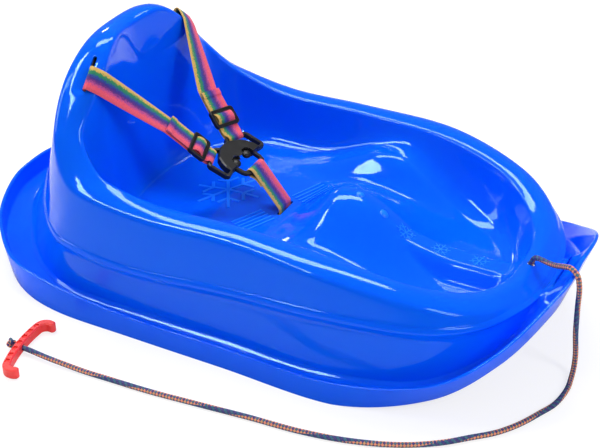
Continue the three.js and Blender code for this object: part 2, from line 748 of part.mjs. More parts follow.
// A slider: a frame with raised ends over the tail, and a low bar under it
function strapSlider() {
  const bottom = WEBBING_THICK / 2 + CLEAR;
  const underEnds = LAYER_GAP + WEBBING_THICK / 2 + CLEAR;
  const top = underEnds + SLIDER_END_THICK;
  const inside = WEBBING_WIDTH / 2 + CLEAR + CLEAR;
  const side = inside + SLIDER_SIDE;
  const end = SLIDER_LENGTH / 2;
  const reach = flat(end - SLIDER_CORNER, side - SLIDER_CORNER);
  const quarter = Math.PI / 2;
  const corners = [[1, 1], [-1, 1], [-1, -1], [1, -1]];
  const outline = corners.flatMap(([x, y], corner) => (
    arcPoints(x * reach.x, y * reach.y, SLIDER_CORNER, corner * quarter, (corner + 1) * quarter, CAP_SIDES)
  ));
  const frame = solidAt(
    plate(outline, top - bottom, SLIDER_BAR_THICK / 2),
    new THREE.Matrix4().makeTranslation(0, 0, (top + bottom) / 2),
  );
  const opening = block(
    vec(SLIDER_END - end, -inside, bottom - CUT_OVERRUN),
    vec(end - SLIDER_END, inside, top + CUT_OVERRUN),
  );
  const channel = block(
    vec(-end - CUT_OVERRUN, -inside, bottom - CUT_OVERRUN),
    vec(end + CUT_OVERRUN, inside, underEnds),
  );
  const bar = block(
    vec(-SLIDER_BAR / 2, -inside - SLIDER_SIDE / 2, bottom),
    vec(SLIDER_BAR / 2, inside + SLIDER_SIDE / 2, bottom + SLIDER_BAR_THICK),
  );
  return frame.subtract(opening).subtract(channel).add(bar);
}

function sliderMatrix(wing, set) {
  return frameAt(onStrap(wing, set, -WING_TURN), wing.along, wing.bar);
}

// The buckle housing: a hollow body with a mouth, and a wing on each side
function buckleBody() {
  const outline = mirrored(housingShares, HOUSING_LENGTH, HOUSING_WIDTH);
  return plate(outline, HOUSING_THICK, HOUSING_BEVEL)
    .add(buckleWing(1)).add(buckleWing(-1))
    .subtract(buckleCavity()).subtract(buckleMouth());
}

// One wing: a low rear bar for the strap, in a tall frame
function buckleWing(side) {
  const [root, inner, outer, ...front] = wingShares.map(([x, y]) => (
    flat(x * HOUSING_LENGTH, side * y * HOUSING_WIDTH / 2)
  ));
  return roundBar(root, inner, WING_BAR, WING_THICK, WING_BEVEL)
    .add(roundBar(inner, outer, WING_BAR, WING_BAR, WING_BEVEL))
    .add(barsAlong([outer, ...front], WING_BAR, WING_THICK, WING_BEVEL));
}

function buckleCavity() {
  const half = forkShares.slice(0, 3).map(([x, y]) => (
    flat(x * FORK_LENGTH - CAVITY_REAR_GAP, y * FORK_WIDTH / 2 + CLEAR)
  ));
  const front = HOUSING_LENGTH + CUT_OVERRUN;
  const outline = [...half, flat(front, FORK_WIDTH / 2 + CLEAR)];
  const other = outline.slice().reverse().map((point) => flat(point.x, -point.y));
  return plate([...outline, ...other], FORK_THICK + CLEAR + CLEAR);
}

function buckleMouth() {
  const thick = HOUSING_THICK + CUT_OVERRUN;
  const middle = LOBE_FORWARD + CLEAR;
  const side = LOBE_SIDE + MOUTH_RADIUS;
  const open = block(
    vec(MOUTH_EDGE, -side, -thick / 2),
    vec(HOUSING_LENGTH + CUT_OVERRUN, side, thick / 2),
  );
  return [1, -1].reduce((cut, sign) => {
    const inner = disc(middle, sign * (LOBE_SIDE - MOUTH_SLACK), MOUTH_RADIUS, thick);
    const outer = disc(middle, sign * LOBE_SIDE, MOUTH_RADIUS, thick);
    return cut.add(inner).add(outer);
  }, open);
}

function buckleFork() {
  const outline = mirrored(forkShares, FORK_LENGTH, FORK_WIDTH);
  const window = mirrored(windowShares, FORK_LENGTH, FORK_WIDTH);
  return plate(outline, FORK_THICK, FORK_BEVEL).subtract(plate(window, FORK_THICK + CUT_OVERRUN));
}

// A prong: a sprung arm with a pressing lobe at its end
function buckleProng(side) {
  const line = [
    flat(-PIVOT_BACK, side * PIVOT_SIDE),
    flat(0, side * (PIVOT_SIDE + LOBE_SIDE) / 2),
    flat(LOBE_FORWARD, side * LOBE_SIDE),
  ];
  const arm = barsAlong(line, PRONG_ARM, PRONG_THICK, PRONG_BEVEL);
  const profile = lobeShares.map(([out, up]) => flat(out * LOBE_RADIUS, up * LOBE_HEIGHT));
  const lobe = toSolid(new THREE.LatheGeometry(profile, ROUND_SIDES));
  const upright = new THREE.Matrix4().makeRotationX(Math.PI / 2)
    .premultiply(new THREE.Matrix4().makeTranslation(LOBE_FORWARD, side * LOBE_SIDE, 0));
  return arm.add(solidAt(lobe, upright));
}

const FORK_TURN = Math.hypot(FORK_THICK / 2, FORK_THICK / 2) + CLEAR + WEBBING_THICK / 2;

// The crotch strap: stop loop, slot, up to the fork's bar, round it and back under itself
function crotchStrap(slot) {
  const across = slot.along;
  const bar = inBuckle(FORK_BAR_MIDDLE, 0);
  const foot = slot.origin.clone().addScaledVector(slot.normal, STRAP_RISE + STRAP_FOLD);
  const down = foot.clone().sub(bar).setY(0);
  const length = down.length();
  down.normalize();
  const over = down.clone().cross(across);
  const at = (along, out) => bar.clone().addScaledVector(down, along).addScaledVector(over, out);
  const underLayer = (along) => (
    FORK_TURN * (1 - along / length) - WEBBING_THICK - CLEAR - CLEAR
  );
  const top = at(0, FORK_TURN);
  const free = Array.from({ length: FREE_STEPS }, (_, step) => foot.clone().lerp(top, step / FREE_STEPS));
  const back = down.clone().multiplyScalar(-1);
  const points = [
    ...stopLoop(slot, CROTCH_STOP_DROP),
    ...free,
    ...turn(bar, over, back, FORK_TURN, 0, Math.PI, TURN_STEPS),
    at(TURN_LENGTH, -FORK_TURN),
    at(CROTCH_TAIL_LENGTH / 2, underLayer(CROTCH_TAIL_LENGTH / 2)),
    at(CROTCH_TAIL_LENGTH, underLayer(CROTCH_TAIL_LENGTH)),
  ];
  return webbing(points.map((point) => section(point, across)));
}

// The rope, its knots and the handle on its end

function ropeGeometry() {
  const curve = new THREE.CatmullRomCurve3(ropeRoute.map(([x, y, z]) => vec(x, y, z)), false, 'centripetal');
  const outline = arcPoints(0, 0, ROPE_RADIUS, 0, 2 * Math.PI, ROPE_SIDES).slice(1);
  return new THREE.ExtrudeGeometry(new THREE.Shape(outline), { steps: ROPE_STEPS, extrudePath: curve });
}

function knotGeometry(middle, axis) {
  const profile = knotShares.map(([out, up]) => flat(out * KNOT_RADIUS, up * KNOT_LENGTH / 2));
  const side = Math.abs(axis.z) < Math.SQRT1_2 ? vec(0, 0, 1) : vec(0, 1, 0);
  return placed(new THREE.LatheGeometry(profile, ROUND_SIDES), frameAt(middle, side, axis));
}

// The handle's outline: a slightly bowed bar whose ends hook forwards, its middle at the origin
function handleOutline(bow, lean) {
  const band = HANDLE_BAND / 2;
  const shoulder = Math.PI - lean;
  const tip = shoulder - HOOK_TURN;
  const [hookX, hookY] = [bow + (bow - HOOK_RADIUS) * Math.cos(shoulder), (bow - HOOK_RADIUS) * Math.sin(shoulder)];
  const edge = (offset) => [
    ...arcPoints(bow, 0, bow + offset, Math.PI, shoulder, TURN_STEPS),
    ...arcPoints(hookX, hookY, HOOK_RADIUS + offset, shoulder, tip, 2 * CAP_SIDES).slice(1),
  ];
  const cap = arcPoints(hookX + HOOK_RADIUS * Math.cos(tip), hookY + HOOK_RADIUS * Math.sin(tip),
    band, tip, tip - Math.PI, 2 * CAP_SIDES).slice(1, -1);
  const half = [...edge(band), ...cap, ...edge(-band).reverse()];
  return [...half, ...half.slice(1, -1).map(({ x, y }) => flat(x, -y)).reverse()];
}

function handlePocket(radius, angle) {
  const [length, width] = [POCKET_LENGTH / 2, POCKET_WIDTH / 2];
  const pocket = plate([flat(-width, -length), flat(width, -length), flat(width, length), flat(-width, length)],
    2 * POCKET_DEPTH);
  const turned = new THREE.Matrix4().makeRotationZ(angle);
  turned.setPosition(radius - radius * Math.cos(angle), -radius * Math.sin(angle), HANDLE_THICK / 2);
  return solidAt(pocket, turned);
}

// The handle lies flat: X points back along the rope to the sled, and Z is up
function pullHandle() {
  const halfBar = (HANDLE_SPAN - HANDLE_BAND) / 2 - HOOK_RADIUS;
  const bow = (halfBar ** 2 + HANDLE_BOW ** 2) / (2 * HANDLE_BOW);
  const lean = Math.asin(halfBar / (bow - HOOK_RADIUS));
  const bore = new THREE.CylinderGeometry(
    HANDLE_BORE_RADIUS, HANDLE_BORE_RADIUS, HANDLE_BAND * 2, ROUND_SIDES,
  ).rotateZ(Math.PI / 2 - HANDLE_SKEW);
  let handle = plate(handleOutline(bow, lean), HANDLE_THICK, HANDLE_BEVEL).subtract(toSolid(bore));
  for (let pocket = 0; pocket < POCKET_COUNT; pocket += 1) {
    const place = POCKET_PITCH * (pocket - (POCKET_COUNT - 1) / 2);
    handle = handle.subtract(handlePocket(bow, place / bow));
  }
  return handle;
}

// The assembly

const rings = shellRings();
const stationCount = rings.crest.length;
const strapFrames = {
  right: rimFrame(rings, stationCount - slotStation, slotShare, -1),
  left: rimFrame(rings, slotStation, slotShare, 1),
};
const slotFrames = {
  right: slotFrame(strapFrames.right, -1),
  left: slotFrame(strapFrames.left, 1),
};
const crotchSlot = crotchFrame();
const ropeHole = rimFrame(rings, stationCount / 2, ropeHoleShare);

const shellSolid = toSolid(loftGeometry([...outerSkin(rings), ...innerSkin(rings)]))
  .subtract(slotCut(slotFrames.right, SLOT_LENGTH))
  .subtract(slotCut(slotFrames.left, SLOT_LENGTH))
  .subtract(slotCut(crotchSlot, CROTCH_SLOT_LENGTH))
  .subtract(ropeHoleCut(ropeHole));
addNode('sled_shell', toGeometry(shellSolid), 'blue');

for (const [name, side] of [['right', -1], ['left', 1]]) {
  addNode(`strap_stop_${name}`, stopBar(slotFrames[name], STOP_DROP, STOP_LENGTH), 'black');
  const { solid, wing } = shoulderStrap(strapFrames[name], side);
  addNode(`shoulder_strap_${name}`, toGeometry(solid), 'webbing');
  addNode(`strap_slider_${name}`, placed(toGeometry(strapSlider()), sliderMatrix(wing, SLIDER_SETS[name])), 'black');
  addNode(`buckle_prong_${name}`, placed(toGeometry(buckleProng(side)), buckleMatrix), 'black');
}

addNode('buckle_body', placed(toGeometry(buckleBody()), buckleMatrix), 'black');
addNode('buckle_fork', placed(toGeometry(buckleFork()), buckleMatrix), 'black');
addNode('crotch_stop', stopBar(crotchSlot, CROTCH_STOP_DROP, CROTCH_STOP_LENGTH), 'black');
addNode('crotch_strap', toGeometry(crotchStrap(crotchSlot)), 'webbing');

const routePoint = (index) => vec(...ropeRoute.at(index));
const ropeRise = routePoint(1).sub(routePoint(0)).normalize();
const ropePull = routePoint(-1).sub(routePoint(-3)).normalize();
const knotSet = CLEAR + KNOT_LENGTH / 2;
const handleBack = CLEAR + HANDLE_BAND / 2 / Math.cos(HANDLE_SKEW)
  + KNOT_RADIUS * Math.tan(HANDLE_SKEW);
const handleMiddle = routePoint(-1).addScaledVector(ropePull, -handleBack);
const toSled = ropePull.clone().negate().applyAxisAngle(vec(0, 0, 1), HANDLE_SKEW);
const handleMatrix = frameAt(handleMiddle, toSled, vec(0, 0, 1).cross(toSled));

addNode('pull_rope', ropeGeometry(), 'rope');
addNode('rope_front_knot', knotGeometry(routePoint(0).addScaledVector(ropeRise, -knotSet), ropeRise), 'rope');
addNode('rope_end_knot', knotGeometry(routePoint(-1).addScaledVector(ropePull, knotSet), ropePull), 'rope');
addNode('pull_handle', placed(toGeometry(pullHandle()), handleMatrix), 'red');

export default group;
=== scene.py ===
"""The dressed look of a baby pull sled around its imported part.

Metres. +X is the front, +Y is the sled's left side and +Z is up.
"""

from __future__ import annotations

import logging
import math
from dataclasses import dataclass
from enum import Enum
from typing import Sequence

import bmesh
import bpy
import numpy as np
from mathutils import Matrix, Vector


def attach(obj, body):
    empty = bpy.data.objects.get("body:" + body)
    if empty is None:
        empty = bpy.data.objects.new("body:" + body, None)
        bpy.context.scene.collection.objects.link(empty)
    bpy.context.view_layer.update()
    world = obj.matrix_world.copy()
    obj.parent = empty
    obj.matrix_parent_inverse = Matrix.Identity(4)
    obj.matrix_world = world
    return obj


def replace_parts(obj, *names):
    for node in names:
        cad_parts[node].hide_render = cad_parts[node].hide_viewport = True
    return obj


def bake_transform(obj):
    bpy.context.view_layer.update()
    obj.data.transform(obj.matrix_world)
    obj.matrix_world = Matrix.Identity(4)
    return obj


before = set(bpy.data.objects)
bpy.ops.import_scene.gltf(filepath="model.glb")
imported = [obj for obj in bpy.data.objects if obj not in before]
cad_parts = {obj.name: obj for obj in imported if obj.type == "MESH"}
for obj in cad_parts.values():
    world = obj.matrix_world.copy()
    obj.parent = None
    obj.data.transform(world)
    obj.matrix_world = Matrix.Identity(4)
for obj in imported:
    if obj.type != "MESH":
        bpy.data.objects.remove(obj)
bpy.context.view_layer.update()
LOG = logging.getLogger("sled")

Array = np.ndarray
Row = tuple[float, float, float]
Piece = bpy.types.Object
Material = bpy.types.Material
Tree = bpy.types.NodeTree
Node = bpy.types.Node
Socket = bpy.types.NodeSocket

MM = 0.001
LENGTH = 0.773
WIDTH = 0.426
HEIGHT = 0.300
WALL = 0.0032
CLEAR = 0.0003
UP = np.array([0.0, 0.0, 1.0])
WEBBING_WIDTH = 0.030
WEBBING_THICK = 0.0014
SLIDER_BAR_THICK = 0.0016
STRIP_SINK = 0.0012
FLAT_ANGLE = math.radians(3)
EDGE_ANGLE = math.radians(24)
WHITE = (1.0, 1.0, 1.0)


class Side(Enum):
    """The sled's right and left sides, with the sign of Y."""

    RIGHT = -1
    LEFT = 1

    @property
    def label(self) -> str:
        """The side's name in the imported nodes."""
        return self.name.lower()


# Vectors, rings and paths


def vec(x: float, y: float, z: float) -> Array:
    """A point or direction as an array."""
    return np.array([x, y, z], float)


def unit(vectors: Array) -> Array:
    """Vectors scaled to length one."""
    return vectors / np.linalg.norm(vectors, axis=-1, keepdims=True)


def ease(value: Array, start: float, end: float) -> Array:
    """A smooth step from 0 at start to 1 at end.

    Args:
        value: what is measured.
        start: where the step starts.
        end: where it ends.

    Returns:
        The step's height for each value.
    """
    share = np.clip((value - start) / (end - start), 0, 1)
    return share * share * (3 - 2 * share)


def bump(distance: Array, spread: float) -> Array:
    """A bell curve of height one."""
    return np.exp(-(distance * distance) / (2 * spread * spread))


def heading(angle: float | Array) -> Array:
    """The flat direction at an angle, or a row of it for each of several angles."""
    return np.stack([np.cos(angle), np.sin(angle)], axis=-1)


def hermite(start: Array, end: Array, leave: Array, arrive: Array, part: Array) -> Array:
    """Points on a cubic curve.

    Args:
        start: where it starts.
        end: where it ends.
        leave: its direction at the start.
        arrive: its direction at the end.
        part: how far along it each point lies, from 0 to 1.

    Returns:
        The points.
    """
    cubic = 2 * start - 2 * end + leave + arrive
    square = -3 * start + 3 * end - 2 * leave - arrive
    return cubic * part**3 + square * part**2 + leave * part + start


def closed_outline(shares: Sequence[Row], per_row: int) -> Array:
    """A closed smooth ring through a half outline and its mirror image.

    Args:
        shares: rows of shares of the length, half width and height.
        per_row: stations for each row.

    Returns:
        The ring's points, one row per station.
    """
    half = np.array(shares) * [LENGTH, WIDTH / 2, HEIGHT]
    points = np.vstack([half, half[-2:0:-1] * [1, -1, 1]])
    count = len(points)
    place = np.arange(count * per_row) / per_row
    row = place.astype(int)
    part = (place - row)[:, None]
    before, here = points[(row - 1) % count], points[row]
    after, later = points[(row + 1) % count], points[(row + 2) % count]
    leave, arrive = (after - before) / 2, (later - here) / 2
    ring = hermite(here, after, leave, arrive, part)
    ring[:, 2] = np.maximum(ring[:, 2], 0)
    return ring


def mix_rings(ring_a: Array, ring_b: Array, share: float, up_share: float | None = None) -> Array:
    """A ring between two others, with its own share for the height."""
    rise = share if up_share is None else up_share
    return ring_a + (ring_b - ring_a) * [share, share, rise]


def tangents(ring: Array) -> Array:
    """The direction along a closed ring at each station."""
    return np.roll(ring, -1, 0) - np.roll(ring, 1, 0)


def skin_normals(ring_a: Array, ring_b: Array) -> Array:
    """The directions out of the skin that runs from one ring to the other."""
    return unit(np.cross(tangents(ring_a) + tangents(ring_b), ring_b - ring_a))


def outward(ring: Array) -> Array:
    """The flat directions away from a ring's middle."""
    along = tangents(ring)
    return unit(np.column_stack([-along[:, 1], along[:, 0], np.zeros(len(ring))]))


def corner_cut(rows: Array, times: int) -> Array:
    """Smooths an open path by cutting its corners, and keeps its ends.

    Args:
        rows: the path's points, or any values that go with them.
        times: how often every corner is cut.

    Returns:
        The longer, smoother rows.
    """
    for _ in range(times):
        near = rows[:-1] * 0.75 + rows[1:] * 0.25
        far = rows[:-1] * 0.25 + rows[1:] * 0.75
        inner = np.stack([near, far], axis=1).reshape(-1, rows.shape[1])
        rows = np.vstack([rows[:1], inner[1:-1], rows[-1:]])
    return rows


def run_lengths(points: Array) -> Array:
    """The length along a path up to each of its points."""
    steps = np.linalg.norm(np.diff(points, axis=0), axis=1)
    return np.concatenate([[0.0], np.cumsum(steps)])


def resampled(points: Array, step: float) -> Array:
    """A path's points again, evenly spaced by about the given step.

    Args:
        points: the path's points.
        step: the wanted spacing.

    Returns:
        The new points.
    """
    runs = run_lengths(points)
    count = max(2, round(runs[-1] / step) + 1)
    at = np.linspace(0, runs[-1], count)
    return np.column_stack([np.interp(at, runs, points[:, axis]) for axis in range(3)])


def centripetal(points: Array, per_gap: int) -> Array:
    """A smooth open curve through points, with centripetal spacing.

    Args:
        points: the points that the curve passes.
        per_gap: samples between one point and the next.

    Returns:
        The curve's points.
    """
    ends = np.vstack([2 * points[0] - points[1], points, 2 * points[-1] - points[-2]])
    parts = []
    for a, b, c, d in zip(ends, ends[1:], ends[2:], ends[3:]):
        gaps = [max(np.linalg.norm(q - p) ** 0.5, 1e-6) for p, q in ((a, b), (b, c), (c, d))]
        leave = ((b - a) / gaps[0] - (c - a) / (gaps[0] + gaps[1]) + (c - b) / gaps[1]) * gaps[1]
        arrive = ((c - b) / gaps[1] - (d - b) / (gaps[1] + gaps[2]) + (d - c) / gaps[2]) * gaps[1]
        part = np.linspace(0, 1, per_gap, endpoint=False)[:, None]
        parts.append(hermite(b, c, leave, arrive, part))
    return np.vstack([*parts, points[-1:]])


def arc(middle: Array, start: Array, toward: Array, radius: float, angles: Array) -> Array:
    """Points on an arc that turns from one direction towards another."""
    return middle + radius * (np.outer(np.cos(angles), start) + np.outer(np.sin(angles), toward))


# Meshes


def mesh_object(name: str, points: Array, faces: Sequence[Sequence[int]], lay: Array | None = None) -> Piece:
    """Makes a smooth-shaded mesh object in the scene.

    Args:
        name: the object's name.
        points: its vertices.
        faces: the vertex numbers of each face.
        lay: for each face corner, the share across and the length along the piece.

    Returns:
        The new object.
    """
    mesh = bpy.data.meshes.new(name)
    mesh.from_pydata(points.tolist(), [], [list(map(int, face)) for face in faces])
    if lay is not None:
        mesh.uv_layers.new(name="lay").data.foreach_set("uv", lay.astype(np.float32).ravel())
    mesh.validate()
    mesh.shade_smooth()
    piece = bpy.data.objects.new(name, mesh)
    bpy.context.scene.collection.objects.link(piece)
    return piece


def ring_faces(rings: int, stations: int) -> Array:
    """The quads between rings that close on themselves.

    Args:
        rings: how many rings there are.
        stations: points on each ring.

    Returns:
        The vertex numbers of each quad.
    """
    ring, station = np.meshgrid(np.arange(rings - 1), np.arange(stations), indexing="ij")
    after = (station + 1) % stations
    a, b = ring * stations + station, ring * stations + after
    return np.stack([a, b, b + stations, a + stations], axis=-1).reshape(-1, 4)


def weld(piece: Piece, reach: float = 1e-6) -> None:
    """Joins the vertices of a mesh that lie in one place.

    Args:
        piece: the mesh's object.
        reach: how far apart they may lie.
    """
    cage = bmesh.new()
    cage.from_mesh(piece.data)
    bmesh.ops.remove_doubles(cage, verts=cage.verts, dist=reach)
    bmesh.ops.recalc_face_normals(cage, faces=cage.faces)
    cage.to_mesh(piece.data)
    cage.free()


def settle(piece: Piece) -> None:
    """Turns what an object's modifiers make into its own mesh.

    Args:
        piece: the object.
    """
    graph = bpy.context.evaluated_depsgraph_get()
    made = bpy.data.meshes.new_from_object(piece.evaluated_get(graph))
    piece.modifiers.clear()
    piece.data = made


def cut_with(piece: Piece, cutters: Sequence[Piece]) -> None:
    """Takes the space of the cutters out of a piece, and removes them.

    Args:
        piece: the piece to cut.
        cutters: the bodies that cut it.
    """
    for cutter in cutters:
        cut = piece.modifiers.new("cut", "BOOLEAN")
        cut.object = cutter
        cut.solver = "EXACT"
    settle(piece)
    for cutter in cutters:
        bpy.data.objects.remove(cutter)


def prism(name: str, outline: Array, axes: tuple[Array, Array, Array], middle: Array, depth: float) -> Piece:
    """A straight-sided block with a flat outline.

    Args:
        name: the object's name.
        outline: the outline's points along the first two axes.
        axes: the block's three directions.
        middle: its centre.
        depth: its length along the third axis.

    Returns:
        The block.
    """
    flat = middle + outline @ np.array(axes[:2])
    points = np.vstack([flat - axes[2] * depth / 2, flat + axes[2] * depth / 2])
    count = len(outline)
    faces = [list(row) for row in ring_faces(2, count)]
    faces += [list(range(count))[::-1], list(range(count, 2 * count))]
    return mesh_object(name, points, faces)


def slot_outline(length: float, width: float, steps: int = 8) -> Array:
    """The outline of a slot with round ends, along its first axis.

    Args:
        length: its whole length.
        width: its width.
        steps: points on each end.

    Returns:
        The outline's points.
    """
    reach = (length - width) / 2
    turn = np.linspace(-math.pi / 2, math.pi / 2, steps)
    right = heading(turn) * width / 2 + [reach, 0]
    return np.vstack([right, -right])


def tube_rings(path: Array, radii: Array) -> Array:
    """Rings of points round a path, turned as little as possible along it.

    Args:
        path: the middle line.
        radii: for each point of it, the radius at each station.

    Returns:
        The rings, one after the other.
    """
    along = unit(np.gradient(path, axis=0))
    side = unit(np.cross(along[0], UP if abs(along[0][2]) < 0.9 else vec(0, 1, 0)))
    sides = [side]
    for direction in along[1:]:
        side = unit(side - direction * np.dot(side, direction))
        sides.append(side)
    first = np.array(sides)
    second = np.cross(along, first)
    angles = np.arange(radii.shape[1]) / radii.shape[1] * 2 * math.pi
    spread = first[:, None] * np.cos(angles)[None, :, None] + second[:, None] * np.sin(angles)[None, :, None]
    return path[:, None] + spread * radii[..., None]


def skin(name: str, rims: Array, shares: Array, runs: Array) -> Piece:
    """Closes rings of points into a body that knows its lay.

    Args:
        name: the object's name.
        rims: the rings, one after the other.
        shares: the share round the body of each station, and of the station after the last.
        runs: the length along the body of each ring.

    Returns:
        The body, with its share and length in its lay map.
    """
    count, sides = rims.shape[:2]
    here, after = np.tile(shares[:-1], count - 1), np.tile(shares[1:], count - 1)
    low, high = np.repeat(runs[:-1], sides), np.repeat(runs[1:], sides)
    lay = np.stack([here, low, after, low, after, high, here, high], 1).reshape(-1, 2)
    start, end = (np.column_stack([shares[:-1], np.full(sides, run)]) for run in (runs[0], runs[-1]))
    caps = [list(range(sides))[::-1], list(range((count - 1) * sides, count * sides))]
    faces = [*map(list, ring_faces(count, sides)), *caps]
    return mesh_object(name, rims.reshape(-1, 3), faces, np.vstack([lay, start[::-1], end]))


# Materials


class Shader:
    """A material or group tree with short ways to add and join its nodes."""

    def __init__(self, tree: Tree) -> None:
        """Keeps the tree that the nodes go in."""
        self.tree = tree

    def feed(self, node: Node, inputs: dict) -> Node:
        """Sets a node's sockets to values or colours, or joins them to the sockets that feed them.

        Args:
            node: the node.
            inputs: a value or a socket for each of its sockets.

        Returns:
            The node.
        """
        for key, value in inputs.items():
            socket = node.inputs[key]
            if isinstance(value, Socket):
                self.tree.links.new(value, socket)
            else:
                socket.default_value = (*value, 1.0) if socket.type == "RGBA" else value
        return node

    def add(self, kind: str, inputs: dict | None = None, **settings: object) -> Node:
        """Adds a node.

        Args:
            kind: the node's type after "ShaderNode".
            inputs: values for its sockets, or the sockets that feed them.
            settings: its own properties.

        Returns:
            The node.
        """
        node = self.tree.nodes.new("ShaderNode" + kind)
        for key, value in settings.items():
            setattr(node, key, value)
        return self.feed(node, inputs or {})

    def math(self, operation: str, *values: object) -> Socket:
        """The result of a Math node on numbers or sockets."""
        return self.add("Math", dict(enumerate(values)), operation=operation).outputs[0]

    def noise(self, place: Socket, scale: object, detail: float, roughness: float = 0.5) -> Socket:
        """The value of a Noise node."""
        inputs = {"Vector": place, "Scale": scale, "Detail": detail, "Roughness": roughness}
        return self.add("TexNoise", inputs).outputs["Fac"]

    def remap(self, value: Socket, low: float, high: float, to: tuple[float, float] = (0, 1)) -> Socket:
        """A value taken from one range to another, and kept inside it."""
        inputs = {"Value": value, "From Min": low, "From Max": high, "To Min": to[0], "To Max": to[1]}
        return self.add("MapRange", inputs).outputs["Result"]

    def relief(self, height: Socket, distance: float, **more: object) -> Socket:
        """The normal of a surface with a relief on it."""
        return self.add("Bump", {"Height": height, "Distance": distance, **more}).outputs["Normal"]

    def ramp(self, factor: Socket, stops: Sequence[tuple[float, Row]]) -> Socket:
        """The colour of a ramp with the given places and colours.

        Args:
            factor: what the ramp reads.
            stops: each stop's place and colour.

        Returns:
            The colour socket.
        """
        node = self.add("ValToRGB", {"Fac": factor})
        marks = node.color_ramp.elements
        for index, (place, tone) in enumerate(stops):
            mark = marks[index] if index < 2 else marks.new(place)
            mark.position, mark.color = place, (*tone, 1.0)
        return node.outputs["Color"]

    def mix(self, factor: object, first: object, second: object, blend: str = "MIX") -> Socket:
        """The mixed colour of two colours or sockets."""
        inputs = {"Fac": factor, "Color1": first, "Color2": second}
        return self.add("MixRGB", inputs, blend_type=blend).outputs["Color"]

    def shaded(self, tone: Socket, shade: Socket) -> Socket:
        """A colour times a shade."""
        grey = self.add("CombineColor", {"Red": shade, "Green": shade, "Blue": shade}).outputs["Color"]
        return self.mix(1.0, tone, grey, "MULTIPLY")

    def group(self, tree: Tree, inputs: dict) -> bpy.types.NodeOutputs:
        """The outputs of a node group with its own values."""
        return self.add("Group", inputs, node_tree=tree).outputs


def colour(red: float, green: float, blue: float) -> Row:
    """A colour written as screen values up to 255, in the linear values that nodes take."""
    shares = (value / 255 for value in (red, green, blue))
    return tuple(share / 12.92 if share <= 10 / 255 else ((share + 0.055) / 1.055) ** 2.4 for share in shares)


def new_group(name: str, inputs: Sequence[str], outputs: Sequence[str]) -> tuple[Shader, dict, Node]:
    """Starts a shader node group with number sockets.

    Args:
        name: the group's name.
        inputs: names of its inputs.
        outputs: names of its outputs.

    Returns:
        The group's shader tree, its input sockets by name and its output node.
    """
    tree = bpy.data.node_groups.new(name, "ShaderNodeTree")
    for way, labels in (("INPUT", inputs), ("OUTPUT", outputs)):
        for label in labels:
            tree.interface.new_socket(label, in_out=way, socket_type="NodeSocketFloat")
    entry = tree.nodes.new("NodeGroupInput")
    given = {label: entry.outputs[label] for label in inputs}
    return Shader(tree), given, tree.nodes.new("NodeGroupOutput")


class Effects:
    """The node groups that several finishes share, each made once."""

    def __init__(self) -> None:
        """Builds the groups."""
        self.grain = self._grain()
        self.wear_and_highlight = self._wear_and_highlight()
        self.threads = self._threads()

    @staticmethod
    def _grain() -> Tree:
        """Moulded plastic: a fine grain, slow waves and scattered scuffs."""
        shader, given, out = new_group("moulded_grain", ["Grain", "Wave"], ["Height", "Wave Height", "Scuff"])
        place = shader.add("TexCoord").outputs["Object"]
        scuff = shader.noise(place, scale=46.0, detail=5.0, roughness=0.7)
        shader.feed(out, {
            "Height": shader.noise(place, given["Grain"], detail=3.0),
            "Wave Height": shader.noise(place, given["Wave"], detail=1.0),
            "Scuff": shader.remap(scuff, low=0.52, high=0.74),
        })
        return shader.tree

    @staticmethod
    def _wear_and_highlight() -> Tree:
        """A mask along edges within a reach, broken up by noise, for wear and for a painted highlight on the
        edges.
        """
        shader, given, out = new_group("edge_wear_and_highlight", ["Reach", "Amount"], ["Mask"])
        rounded = shader.add("Bevel", {"Radius": given["Reach"]}, samples=6).outputs["Normal"]
        facing = shader.add("NewGeometry").outputs["Normal"]
        same = shader.add("VectorMath", {0: rounded, 1: facing}, operation="DOT_PRODUCT").outputs["Value"]
        edge = shader.remap(same, low=0.985, high=0.9)
        patch = shader.noise(shader.add("TexCoord").outputs["Object"], scale=180.0, detail=2.0)
        broken = shader.math("MULTIPLY", edge, shader.remap(patch, low=0.25, high=0.55))
        shader.feed(out, {"Mask": shader.math("MULTIPLY", broken, given["Amount"])})
        return shader.tree

    @staticmethod
    def _threads() -> Tree:
        """Crossing threads over a lay map: their height and a speckle of stray fibres."""
        names = ["Across", "Along", "Across Count", "Along Pitch"]
        shader, given, out = new_group("crossing_threads", names, ["Height", "Fibre", "Pick"])
        across = shader.math("MULTIPLY", given["Across"], given["Across Count"])
        along = shader.math("DIVIDE", given["Along"], given["Along Pitch"])
        warp, weft = (
            shader.math("SINE", shader.math("MULTIPLY", count, 2 * math.pi)) for count in (across, along)
        )
        crossing = shader.math("MULTIPLY", warp, weft)
        cell = shader.add("CombineXYZ", {"X": across, "Y": along}).outputs["Vector"]
        fibre = shader.noise(cell, scale=1.3, detail=2.0)
        whole = shader.add("VectorMath", {0: cell}, operation="FLOOR").outputs["Vector"]
        shader.feed(out, {
            "Height": shader.math("ADD", shader.math("MULTIPLY", crossing, 0.5), fibre),
            "Fibre": fibre,
            "Pick": shader.add("TexWhiteNoise", {"Vector": whole}, noise_dimensions="2D").outputs["Value"],
        })
        return shader.tree


@dataclass(frozen=True)
class Finish:
    """A finish that makes one material."""

    name: str

    def material(self, effects: Effects) -> Material:
        """Builds the finish.

        Args:
            effects: the shared node groups.

        Returns:
            The material.
        """
        made = bpy.data.materials.new(self.name)
        made.use_nodes = True
        shader = Shader(made.node_tree)
        shader.feed(made.node_tree.nodes["Principled BSDF"], self.sockets(shader, effects))
        return made

    def sockets(self, shader: Shader, effects: Effects) -> dict:
        """What the Principled node's sockets take, by their names."""
        raise NotImplementedError


